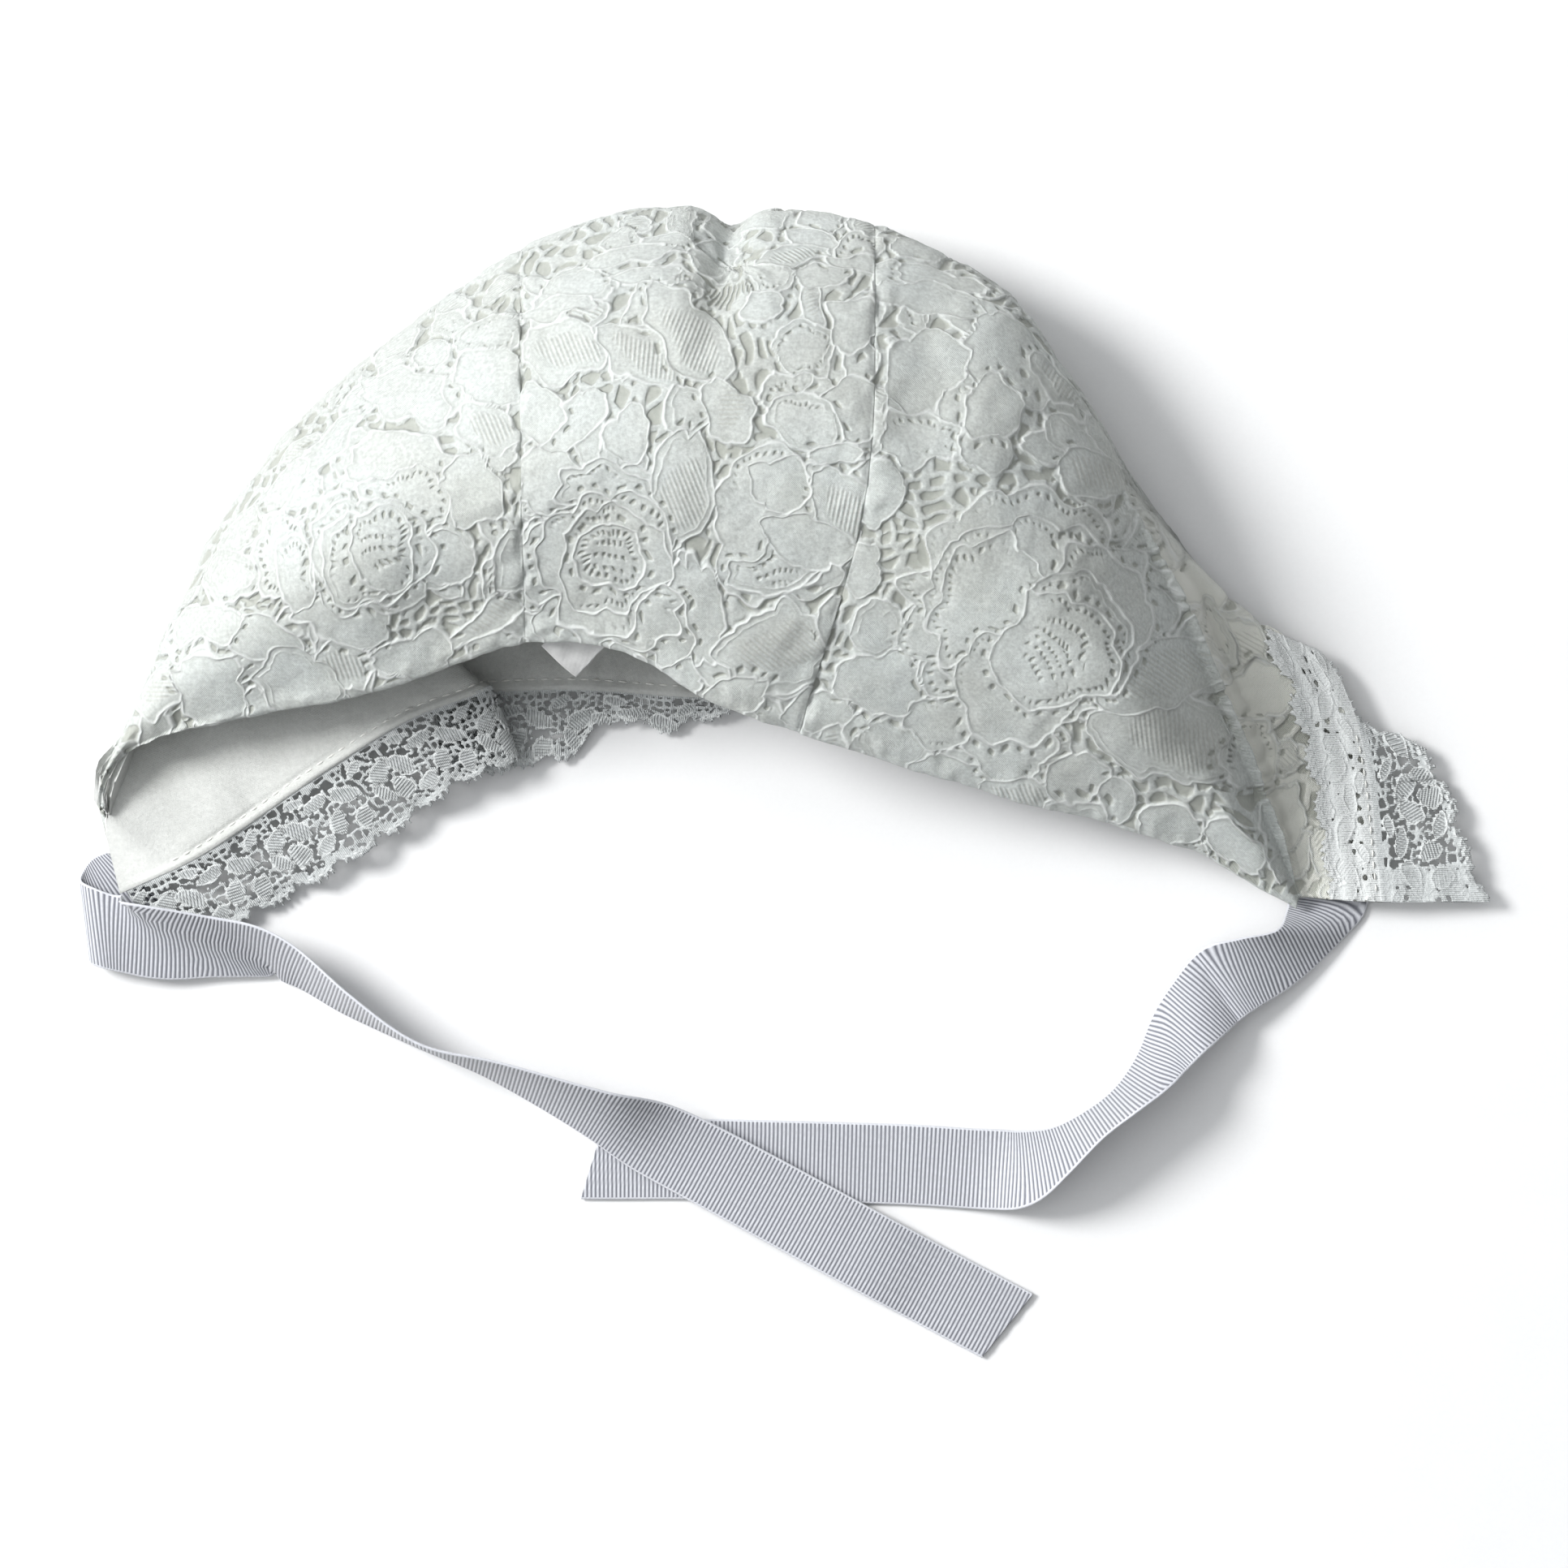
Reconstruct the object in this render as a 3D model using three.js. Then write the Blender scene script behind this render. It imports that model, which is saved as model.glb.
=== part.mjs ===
// A baby bonnet of corded lace with a plain lining, a scalloped lace edging and two
// grosgrain ties. It lies on its brow, with the crown up and the neck edge arched.
// Millimetres, +Z up, x from the left ear to the right ear, y from the ears to the crown fold.
import * as THREE from 'three';

// Driving sizes
const HAT_WIDTH = 252;
const HAT_DEPTH = 135;
const CROWN_HEIGHT = 62;
const FOLD_HEIGHT = 26;
const NECK_ARCH = 38;
const CLOTH_LIFT = 1.6;
const LACE_THICKNESS = 1.0;
const LINING_THICKNESS = 1.0;
const CLEARANCE = 0.3;
const DENT_DEPTH = 5;
const SHORTEST_LINE = 202;
const LONGEST_LINE = 328;
const TRIM_DEPTH = 19;
const TRIM_THICKNESS = 0.8;
const RUFFLE_HEIGHT = 1.8;
const RUFFLE_PITCH = 24;
const SCALLOP_SWING = 0.06;
const HIGH_EDGE = 6;
const DROP_FROM_HIGH_EDGE = 0.55;
const DROP_FROM_LOW_EDGE = 0.75;
const TIE_WIDTH = 16;
const TIE_LENGTH = 200;
const TIE_THICKNESS = 1.0;
const LABEL_SIDE = 10;
const LABEL_THICKNESS = 0.6;
const LABEL_EDGES = [[0.66, -0.6, -0.45], [-0.6, -0.62, -0.5]];

// Where the seams and the trim's two stretches lie, as shares of the way from ear to ear
const LEFT_SEAM = 0.37;
const RIGHT_SEAM = 0.59;
const BROW_TRIM_END = 0.78;
const SIDE_TRIM_START = 0.87;
const LABEL_AT = 0.405;
const LABEL_ACROSS = 0.12;

// The guide lines run from the left ear (at 0) to the right ear (at 1).
// x is a share of HAT_WIDTH, y of HAT_DEPTH, and z of the height that each line follows.
const NECK_EDGE = [
  { at: 0.0, x: -0.5, y: 0.129, z: 0.16 },
  { at: 0.05, x: -0.478, y: 0.207, z: 0.34 },
  { at: 0.12, x: -0.408, y: 0.247, z: 0.5 },
  { at: 0.25, x: -0.277, y: 0.292, z: 0.76 },
  { at: 0.37, x: -0.162, y: 0.358, z: 0.95 },
  { at: 0.45, x: -0.085, y: 0.344, z: 1.0 },
  { at: 0.52, x: -0.023, y: 0.275, z: 0.95 },
  { at: 0.59, x: 0.048, y: 0.226, z: 0.82 },
  { at: 0.75, x: 0.201, y: 0.14, z: 0.55 },
  { at: 0.9, x: 0.348, y: 0.067, z: 0.32 },
  { at: 1.0, x: 0.44, y: -0.022, z: 0.14 },
];
const CROWN_LINE = [
  { at: 0.0, x: -0.5, y: 0.126, z: 0.09 },
  { at: 0.05, x: -0.49, y: 0.188, z: 0.2 },
  { at: 0.12, x: -0.43, y: 0.31, z: 0.4 },
  { at: 0.25, x: -0.303, y: 0.49, z: 0.77 },
  { at: 0.37, x: -0.163, y: 0.6, z: 0.93 },
  { at: 0.48, x: -0.05, y: 0.63, z: 1.0 },
  { at: 0.59, x: 0.1, y: 0.575, z: 0.98 },
  { at: 0.68, x: 0.172, y: 0.5, z: 0.94 },
  { at: 0.8, x: 0.283, y: 0.34, z: 0.79 },
  { at: 0.9, x: 0.357, y: 0.205, z: 0.5 },
  { at: 1.0, x: 0.441, y: -0.013, z: 0.095 },
];
const CROWN_FOLD = [
  { at: 0.0, x: -0.501, y: 0.121, z: 0.2 },
  { at: 0.05, x: -0.497, y: 0.165, z: 0.33 },
  { at: 0.12, x: -0.445, y: 0.376, z: 0.6 },
  { at: 0.18, x: -0.405, y: 0.524, z: 0.8 },
  { at: 0.25, x: -0.328, y: 0.697, z: 0.96 },
  { at: 0.37, x: -0.168, y: 0.921, z: 1.0 },
  { at: 0.45, x: -0.073, y: 0.983, z: 1.0 },
  { at: 0.52, x: 0.027, y: 0.981, z: 1.0 },
  { at: 0.59, x: 0.108, y: 0.957, z: 1.04 },
  { at: 0.68, x: 0.206, y: 0.863, z: 1.08 },
  { at: 0.75, x: 0.263, y: 0.723, z: 1.08 },
  { at: 0.82, x: 0.311, y: 0.545, z: 1.04 },
  { at: 0.9, x: 0.362, y: 0.354, z: 0.85 },
  { at: 0.95, x: 0.402, y: 0.179, z: 0.54 },
  { at: 1.0, x: 0.443, y: -0.006, z: 0.21 },
];
const BROW_FOLD = [
  { at: 0.0, x: -0.5, y: 0.11, z: 0.13 },
  { at: 0.05, x: -0.492, y: 0.137, z: 0.08 },
  { at: 0.12, x: -0.436, y: 0.364, z: 0.05 },
  { at: 0.25, x: -0.32, y: 0.675, z: 0.03 },
  { at: 0.37, x: -0.165, y: 0.885, z: 0.03 },
  { at: 0.52, x: 0.027, y: 0.94, z: 0.03 },
  { at: 0.59, x: 0.106, y: 0.915, z: 0.03 },
  { at: 0.68, x: 0.207, y: 0.81, z: 0.04 },
  { at: 0.75, x: 0.288, y: 0.63, z: 0.12 },
  { at: 0.82, x: 0.37, y: 0.464, z: 0.26 },
  { at: 0.88, x: 0.42, y: 0.366, z: 0.3 },
  { at: 0.95, x: 0.452, y: 0.203, z: 0.22 },
  { at: 1.0, x: 0.468, y: -0.01, z: 0.18 },
];
// lay is the compass direction in degrees in which the trim stands off the face edge
const FACE_EDGE = [
  { at: 0.0, x: -0.485, y: 0.0, z: 0.03, lay: -60 },
  { at: 0.05, x: -0.421, y: 0.054, z: 0.05, lay: -55 },
  { at: 0.12, x: -0.325, y: 0.173, z: 0.16, lay: -54 },
  { at: 0.17, x: -0.255, y: 0.252, z: 0.32, lay: -56 },
  { at: 0.2, x: -0.203, y: 0.288, z: 0.37, lay: -66 },
  { at: 0.215, x: -0.199, y: 0.287, z: 0.33, lay: -72 },
  { at: 0.245, x: -0.235, y: 0.279, z: 0.28, lay: -78 },
  { at: 0.26, x: -0.244, y: 0.279, z: 0.16, lay: -84 },
  { at: 0.275, x: -0.238, y: 0.284, z: 0.03, lay: -88 },
  { at: 0.31, x: -0.197, y: 0.294, z: 0.0, lay: -90 },
  { at: 0.37, x: -0.124, y: 0.298, z: 0.0, lay: -90 },
  { at: 0.45, x: -0.031, y: 0.287, z: 0.0, lay: -90 },
  { at: 0.59, x: 0.174, y: 0.284, z: 0.0, lay: -90 },
  { at: 0.68, x: 0.27, y: 0.3, z: 0.0, lay: -90 },
  { at: 0.75, x: 0.345, y: 0.33, z: 0.0, lay: -90 },
  { at: 0.82, x: 0.41, y: 0.358, z: 0.03, lay: -60 },
  { at: 0.88, x: 0.462, y: 0.34, z: 0.12, lay: 35 },
  { at: 0.95, x: 0.494, y: 0.203, z: 0.14, lay: 12 },
  { at: 1.0, x: 0.507, y: -0.014, z: 0.12, lay: 0 },
];
// Places where the cloth is pushed in: the gathered nick at the crown fold, a soft dent
// beside the right seam, the valley beside the right ridge and the sag beside the left seam.
// along and over are half widths, y and z shares of DENT_DEPTH.
const DENTS = [
  { at: 0.497, across: 2.0, along: 0.012, over: 0.55, y: -1.0, z: -0.3 },
  { at: 0.625, across: 1.5, along: 0.035, over: 0.35, y: 0, z: -0.6 },
  { at: 0.88, across: 2.42, along: 0.08, over: 0.24, y: 0, z: -0.9 },
  { at: 0.31, across: 0.6, along: 0.03, over: 0.5, y: 0, z: -0.3 },
];
// How far the brow stretch of the trim stands off, as a share of TRIM_DEPTH: past the
// fold at the left it is tucked under
const BROW_REACH = [
  { at: 0.0, depth: 0.75 },
  { at: 0.06, depth: 0.9 },
  { at: 0.12, depth: 1.0 },
  { at: 0.19, depth: 0.88 },
  { at: 0.3, depth: 0.84 },
  { at: 0.36, depth: 0.8 },
  { at: 0.39, depth: 0.4 },
  { at: 0.43, depth: 0.44 },
  { at: 0.47, depth: 0.24 },
  { at: 0.55, depth: 0.36 },
  { at: 0.65, depth: 0.45 },
  { at: 0.78, depth: 0.4 },
];
// How far the free trim of the side stretch stands off, as a share of TRIM_DEPTH
const SIDE_REACH = [
  { at: 0.87, depth: 0.03 },
  { at: 0.93, depth: 0.04 },
  { at: 0.945, depth: 0.45 },
  { at: 0.965, depth: 0.82 },
  { at: 0.985, depth: 0.98 },
  { at: 1.0, depth: 1.15 },
];

// Each row is one straight ruling across a tie: its middle from the ear corner in shares of
// TIE_LENGTH, its lower edge's height and its length in shares of TIE_WIDTH, and in degrees
// the compass direction of its upper edge and its slope.
const LEFT_TIE = [
  { x: 0.012, y: 0.024, lift: 0.04, aim: 135, slope: 0, spread: 1.0 },
  { x: -0.026, y: -0.028, lift: 0.04, aim: 98, slope: 0, spread: 1.2 },
  { x: -0.032, y: -0.03, lift: 0.13, aim: 98, slope: 0, spread: 1.2 },
  { x: -0.026, y: -0.031, lift: 0.24, aim: 98, slope: 0, spread: 1.2 },
  { x: 0.007, y: -0.042, lift: 0.26, aim: 101, slope: 3, spread: 1.02 },
  { x: 0.044, y: -0.045, lift: 0.22, aim: 137, slope: 7, spread: 1.45 },
  { x: 0.077, y: -0.046, lift: 0.14, aim: 151, slope: 11, spread: 2.0 },
  { x: 0.125, y: -0.052, lift: 0.08, aim: 136, slope: 32, spread: 1.25 },
  { x: 0.172, y: -0.071, lift: 0.06, aim: 88, slope: 58, spread: 1.0 },
  { x: 0.228, y: -0.111, lift: 0.05, aim: 70, slope: 74, spread: 1.0 },
  { x: 0.298, y: -0.151, lift: 0.04, aim: 66, slope: 85, spread: 1.0 },
  { x: 0.373, y: -0.176, lift: 0.05, aim: 66, slope: 74, spread: 1.0 },
  { x: 0.472, y: -0.218, lift: 0.13, aim: 63, slope: 50, spread: 1.0 },
  { x: 0.555, y: -0.256, lift: 0.15, aim: 62, slope: 12, spread: 1.0 },
  { x: 0.726, y: -0.348, lift: 0.15, aim: 62, slope: 0, spread: 1.0 },
  { x: 0.806, y: -0.391, lift: 0.06, aim: 61, slope: 0, spread: 1.0 },
  { x: 0.88, y: -0.43, lift: 0.04, aim: 51, slope: 0, spread: 1.02 },
];
const RIGHT_TIE = [
  { x: -0.049, y: 0.025, lift: 0.04, aim: 180, slope: 0, spread: 1.0 },
  { x: -0.054, y: -0.008, lift: 0.04, aim: 178, slope: 8, spread: 1.0 },
  { x: -0.072, y: -0.032, lift: 0.06, aim: 172, slope: 30, spread: 1.0 },
  { x: -0.114, y: -0.058, lift: 0.16, aim: 141, slope: 24, spread: 1.0 },
  { x: -0.155, y: -0.078, lift: 0.3, aim: 124, slope: 6, spread: 1.0 },
  { x: -0.187, y: -0.109, lift: 0.22, aim: 118, slope: -22, spread: 1.0 },
  { x: -0.209, y: -0.136, lift: 0.12, aim: 116, slope: -36, spread: 1.0 },
  { x: -0.229, y: -0.168, lift: 0.06, aim: 122, slope: -58, spread: 1.0 },
  { x: -0.255, y: -0.196, lift: 0.05, aim: 126, slope: -70, spread: 1.0 },
  { x: -0.287, y: -0.221, lift: 0.05, aim: 124, slope: -70, spread: 1.0 },
  { x: -0.32, y: -0.246, lift: 0.05, aim: 112, slope: -56, spread: 1.0 },
  { x: -0.353, y: -0.263, lift: 0.05, aim: 98, slope: -28, spread: 1.02 },
  { x: -0.391, y: -0.265, lift: 0.04, aim: 91, slope: -5, spread: 1.0 },
  { x: -0.484, y: -0.26, lift: 0.04, aim: 90, slope: 0, spread: 1.0 },
  { x: -0.677, y: -0.255, lift: 0.04, aim: 89, slope: 0, spread: 1.0 },
  { x: -0.782, y: -0.255, lift: 0.04, aim: 73, slope: 0, spread: 1.04 },
];
const TIE_STEPS = 3;

// Cells along the hat between these shares, with more of them in the folds and the pucker
const LEFT_CELLS = [[0, 0.05, 3], [0.05, 0.17, 5], [0.17, 0.31, 12], [0.31, LEFT_SEAM, 2]];
const CENTRE_CELLS = [[LEFT_SEAM, 0.46, 3], [0.46, 0.53, 6], [0.53, RIGHT_SEAM, 3]];
const RIGHT_CELLS = [[RIGHT_SEAM, 0.8, 6], [0.8, SIDE_TRIM_START, 4], [SIDE_TRIM_START, 1, 8]];
// Cells from the neck edge to the crown line, the crown fold, the brow fold and the face edge
const MERIDIAN_CELLS = [5, 4, 3, 5];
const BROW_TRIM_CELLS = [[0.004, 0.17, 20], [0.17, 0.31, 24], [0.31, BROW_TRIM_END, 40]];
const SIDE_TRIM_CELLS = [[SIDE_TRIM_START, 1, 8]];
const TRIM_ROWS = 5;
// The side stretch laps over the hat from here on, and is pierced only past this column
const LAP_FROM = 2.6;
const PIERCED_FROM = 5;

function material(color, roughness) {
  return new THREE.MeshStandardMaterial({ color, roughness, metalness: 0 });
}

// A smooth value from a table's rows at a place along them, by cubic Hermite pieces.
// Heights never swing past their rows, so cloth that lies on the surface stays on it.
function smoothAt(rows, key, at) {
  let i = 0;
  while (i < rows.length - 2 && at > rows[i + 1].at) {
    i += 1;
  }
  const secant = (k) => (rows[k + 1][key] - rows[k][key]) / (rows[k + 1].at - rows[k].at);
  const slope = (k) => {
    const before = Math.max(k - 1, 0);
    const after = Math.min(k + 1, rows.length - 1);
    if (key === 'z' && after - before === 2) {
      const product = secant(before) * secant(k);
      return product > 0 ? (2 * product) / (secant(before) + secant(k)) : 0;
    }
    return (rows[after][key] - rows[before][key]) / (rows[after].at - rows[before].at);
  };
  const [p, q] = [rows[i], rows[i + 1]];
  const span = q.at - p.at;
  const t = (at - p.at) / span;
  const rise = t * t * (3 - 2 * t);
  const leave = t * (1 - t) * (1 - t) * span * slope(i);
  const arrive = t * t * (t - 1) * span * slope(i + 1);
  return p[key] + (q[key] - p[key]) * rise + leave + arrive;
}

function guidePoint(rows, at, height, floor) {
  return new THREE.Vector3(
    smoothAt(rows, 'x', at) * HAT_WIDTH,
    smoothAt(rows, 'y', at) * HAT_DEPTH,
    smoothAt(rows, 'z', at) * height + floor,
  );
}

// The hat's outer surface: across runs from 0 at the neck edge over the crown line (1),
// the crown fold (2) and the brow fold (3) to the face edge (4).
function surfacePoint(at, across) {
  const knots = [
    guidePoint(NECK_EDGE, at, NECK_ARCH, 0),
    guidePoint(CROWN_LINE, at, CROWN_HEIGHT, 0),
    guidePoint(CROWN_FOLD, at, FOLD_HEIGHT, 0),
    guidePoint(BROW_FOLD, at, FOLD_HEIGHT, 0),
    guidePoint(FACE_EDGE, at, FOLD_HEIGHT, CLOTH_LIFT),
  ];
  const lengths = [0];
  for (let k = 1; k < knots.length; k += 1) {
    lengths.push(lengths[k - 1] + knots[k].distanceTo(knots[k - 1]));
  }
  const rows = knots.map((p, k) => ({ at: lengths[k], x: p.x, y: p.y, z: p.z }));
  const k = Math.min(Math.floor(across), knots.length - 2);
  const place = lengths[k] + (across - k) * (lengths[k + 1] - lengths[k]);
  const point = new THREE.Vector3(
    smoothAt(rows, 'x', place),
    smoothAt(rows, 'y', place),
    smoothAt(rows, 'z', place),
  );
  return point.add(dents(at, across));
}

function dents(at, across) {
  const push = new THREE.Vector3();
  for (const dent of DENTS) {
    const aside = (at - dent.at) / dent.along;
    const away = (across - dent.across) / dent.over;
    const depth = DENT_DEPTH * Math.exp(-aside * aside - away * away);
    push.add(new THREE.Vector3(0, dent.y * depth, dent.z * depth));
  }
  return push;
}

const STEP = 1e-3;

function outwardAt(at, across) {
  const a = Math.min(Math.max(at, STEP), 1 - STEP);
  const b = Math.min(Math.max(across, STEP), 4 - STEP);
  const alongHat = surfacePoint(a + STEP, b).sub(surfacePoint(a - STEP, b));
  const acrossHat = surfacePoint(a, b + STEP).sub(surfacePoint(a, b - STEP));
  return alongHat.cross(acrossHat).normalize();
}

function stops(spans) {
  const list = [spans[0][0]];
  for (const [from, to, cells] of spans) {
    for (let i = 1; i <= cells; i += 1) {
      list.push(from + ((to - from) * i) / cells);
    }
  }
  return list;
}

function meridianStops() {
  return stops(MERIDIAN_CELLS.map((cells, k) => [k, k + 1, cells]));
}

// A closed sheet from two point grids, face and back, with walls round its edge and round
// the cells that isHole names.
function sheetGeometry(face, back, isHole = () => false) {
  const columns = face.length - 1;
  const rows = face[0].length - 1;
  const positions = [];
  const put = (...points) => points.forEach((p) => positions.push(p.x, p.y, p.z));
  const quad = (a, b, c, d) => put(a, b, c, a, c, d);
  const open = (i, j) => i < 0 || j < 0 || i >= columns || j >= rows || isHole(i, j);
  const wall = (i, j, k, l) => quad(face[k][l], face[i][j], back[i][j], back[k][l]);
  for (let i = 0; i < columns; i += 1) {
    for (let j = 0; j < rows; j += 1) {
      if (open(i, j)) {
        continue;
      }
      quad(face[i][j], face[i + 1][j], face[i + 1][j + 1], face[i][j + 1]);
      quad(back[i][j], back[i][j + 1], back[i + 1][j + 1], back[i + 1][j]);
      if (open(i, j - 1)) {
        wall(i, j, i + 1, j);
      }
      if (open(i + 1, j)) {
        wall(i + 1, j, i + 1, j + 1);
      }
      if (open(i, j + 1)) {
        wall(i + 1, j + 1, i, j + 1);
      }
      if (open(i - 1, j)) {
        wall(i, j + 1, i, j);
      }
    }
  }
  const geometry = new THREE.BufferGeometry();
  geometry.setAttribute('position', new THREE.Float32BufferAttribute(positions, 3));
  geometry.computeVertexNormals();
  return geometry;
}

// One layer of the hat between two depths below the outer surface.
function layerGeometry(alongStops, top, bottom) {
  const acrossStops = meridianStops();
  const level = (depth) => alongStops.map((at) => acrossStops.map((across) => (
    surfacePoint(at, across).addScaledVector(outwardAt(at, across), -depth)
  )));
  return sheetGeometry(level(top), level(bottom));
}

// Draws a panel's ends in so that the seam beside the next panel stays open.
function trimmedStops(spans, startsAtSeam, endsAtSeam) {
  const list = stops(spans);
  const nip = CLEARANCE / 2 / SHORTEST_LINE;
  if (startsAtSeam) {
    list[0] += nip;
  }
  if (endsAtSeam) {
    list[list.length - 1] -= nip;
  }
  return list;
}

function lacePanel(name, spans, startsAtSeam, endsAtSeam) {
  const alongStops = trimmedStops(spans, startsAtSeam, endsAtSeam);
  const mesh = new THREE.Mesh(
    layerGeometry(alongStops, 0, LACE_THICKNESS),
    material(0xe4e7e1, 0.85),
  );
  mesh.name = name;
  return mesh;
}

function lining() {
  const top = LACE_THICKNESS + CLEARANCE;
  const alongStops = stops([...LEFT_CELLS, ...CENTRE_CELLS, ...RIGHT_CELLS]);
  const mesh = new THREE.Mesh(
    layerGeometry(alongStops, top, top + LINING_THICKNESS),
    material(0xece9dc, 0.7),
  );
  mesh.name = 'lining';
  return mesh;
}

// The outer edge of the trim rises and falls in gathers and swings out in scallops.
function ruffle(at, share) {
  const turns = (at * LONGEST_LINE) / RUFFLE_PITCH;
  const wave = 0.5 - 0.5 * Math.cos(2 * Math.PI * turns);
  const swing = 1 + SCALLOP_SWING * Math.cos(4 * Math.PI * turns);
  return { rise: RUFFLE_HEIGHT * wave * share, swing };
}

// A point of the trim beyond the face edge, share 0 at the edge and 1 at the scallops.
function freeTrimPoint(at, share, depth, start) {
  const lay = THREE.MathUtils.degToRad(smoothAt(FACE_EDGE, 'lay', at));
  const { rise, swing } = ruffle(at, share);
  const run = CLEARANCE + depth * share * (1 + (swing - 1) * share);
  const drop = start.z > HIGH_EDGE ? DROP_FROM_HIGH_EDGE : DROP_FROM_LOW_EDGE;
  const fall = start.z + (TRIM_THICKNESS - start.z) * share * drop;
  return new THREE.Vector3(
    start.x + Math.cos(lay) * run,
    start.y + Math.sin(lay) * run,
    fall + rise,
  );
}

function thickened(mid, name, isHole, color) {
  const up = (i, j) => {
    const before = mid[Math.max(i - 1, 0)][j];
    const after = mid[Math.min(i + 1, mid.length - 1)][j];
    const inner = mid[i][Math.max(j - 1, 0)];
    const outer = mid[i][Math.min(j + 1, mid[i].length - 1)];
    return after.clone().sub(before).cross(outer.clone().sub(inner)).normalize();
  };
  const level = (side) => mid.map((column, i) => column.map((p, j) => (
    p.clone().addScaledVector(up(i, j), (side * TRIM_THICKNESS) / 2)
  )));
  const mesh = new THREE.Mesh(sheetGeometry(level(1), level(-1), isHole), material(color, 0.9));
  mesh.name = name;
  return mesh;
}

// The edging from the left ear round to the brow, edge to edge with the hat's own walls.
function browTrim() {
  const wall = LACE_THICKNESS + CLEARANCE + LINING_THICKNESS;
  const mid = stops(BROW_TRIM_CELLS).map((at) => {
    const start = surfacePoint(at, 4).addScaledVector(outwardAt(at, 4), -wall / 2);
    const depth = TRIM_DEPTH * smoothAt(BROW_REACH, 'depth', at);
    const column = [];
    for (let j = 0; j <= TRIM_ROWS; j += 1) {
      column.push(freeTrimPoint(at, j / TRIM_ROWS, depth, start));
    }
    return column;
  });
  const isHole = (i, j) => (j === 1 && i % 2 === 1) || (j === 3 && i % 4 === 2);
  return thickened(mid, 'trim_brow', isHole, 0xdadddb);
}

// The edging at the right ear: it laps over the lace panel and then stands free.
function sideTrim() {
  const off = CLEARANCE + TRIM_THICKNESS / 2;
  const lapStops = meridianStops().filter((across) => across > LAP_FROM);
  const free = lapStops.length;
  const mid = stops(SIDE_TRIM_CELLS).map((at) => {
    const column = [];
    for (const across of lapStops) {
      column.push(surfacePoint(at, across).addScaledVector(outwardAt(at, across), off));
    }
    const start = column[column.length - 1];
    for (let j = 1; j <= TRIM_ROWS; j += 1) {
      const depth = TRIM_DEPTH * smoothAt(SIDE_REACH, 'depth', at);
      column.push(freeTrimPoint(at, j / TRIM_ROWS, depth, start));
    }
    return column;
  });
  const inRow = (i, j) => (j === free && i % 2 === 1) || (j === free + 2 && i % 2 === 0);
  const isHole = (i, j) => i >= PIERCED_FROM && inRow(i, j);
  return thickened(mid, 'trim_side', isHole, 0xdadddb);
}

// A care label without print, held at one corner under the neck edge, the opposite one down.
function label() {
  const inside = LACE_THICKNESS + LINING_THICKNESS + 2 * CLEARANCE;
  const held = surfacePoint(LABEL_AT, LABEL_ACROSS)
    .addScaledVector(outwardAt(LABEL_AT, LABEL_ACROSS), -inside - LABEL_THICKNESS);
  const sides = LABEL_EDGES.map((edge) => new THREE.Vector3(...edge).normalize());
  const facing = sides[1].clone().cross(sides[0]).normalize();
  const corner = (i, j, depth) => held.clone()
    .addScaledVector(sides[0], i * LABEL_SIDE)
    .addScaledVector(sides[1], j * LABEL_SIDE)
    .addScaledVector(facing, depth);
  const level = (depth) => [0, 1].map((j) => [0, 1].map((i) => corner(i, j, depth)));
  const mesh = new THREE.Mesh(sheetGeometry(level(0), level(-LABEL_THICKNESS)), material(0xe9e9e6, 0.8));
  mesh.name = 'label';
  return mesh;
}

// A ribbon through its rulings, each a straight line across it.
function tie(name, rows, corner) {
  const table = rows.map((row, k) => ({ ...row, at: k }));
  const columns = [];
  for (let s = 0; s <= (rows.length - 1) * TIE_STEPS; s += 1) {
    const read = (key) => smoothAt(table, key, s / TIE_STEPS);
    const aim = THREE.MathUtils.degToRad(read('aim'));
    const slope = THREE.MathUtils.degToRad(read('slope'));
    const half = (TIE_WIDTH * read('spread')) / 2;
    const middle = new THREE.Vector3(
      corner.x + read('x') * TIE_LENGTH,
      corner.y + read('y') * TIE_LENGTH,
      read('lift') * TIE_WIDTH + half * Math.abs(Math.sin(slope)),
    );
    const arm = new THREE.Vector3(
      Math.cos(aim) * Math.cos(slope),
      Math.sin(aim) * Math.cos(slope),
      Math.sin(slope),
    );
    columns.push([-1, 0, 1].map((side) => middle.clone().addScaledVector(arm, side * half)));
  }
  const facing = (i) => {
    const before = columns[Math.max(i - 1, 0)][1];
    const after = columns[Math.min(i + 1, columns.length - 1)][1];
    const arm = columns[i][2].clone().sub(columns[i][0]);
    return after.clone().sub(before).cross(arm).normalize();
  };
  const level = (side) => columns.map((column, i) => [column[0], column[2]].map((p) => (
    p.clone().addScaledVector(facing(i), (side * TIE_THICKNESS) / 2)
  )));
  const mesh = new THREE.Mesh(sheetGeometry(level(1), level(-1)), material(0xc6c8cc, 0.6));
  mesh.name = name;
  return mesh;
}

const group = new THREE.Group();
group.add(lacePanel('lace_left', LEFT_CELLS, false, true));
group.add(lacePanel('lace_centre', CENTRE_CELLS, true, true));
group.add(lacePanel('lace_right', RIGHT_CELLS, true, false));
group.add(lining());
group.add(browTrim());
group.add(sideTrim());
group.add(label());
group.add(tie('tie_left', LEFT_TIE, guidePoint(FACE_EDGE, 0, FOLD_HEIGHT, 0)));
group.add(tie('tie_right', RIGHT_TIE, guidePoint(FACE_EDGE, 1, FOLD_HEIGHT, 0)));

// The origin is the middle of the whole bonnet's footprint, on the surface that it rests on.
const box = new THREE.Box3().setFromObject(group);
const centre = box.getCenter(new THREE.Vector3());
group.position.set(-centre.x, -centre.y, -box.min.z);

export default group;
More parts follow.
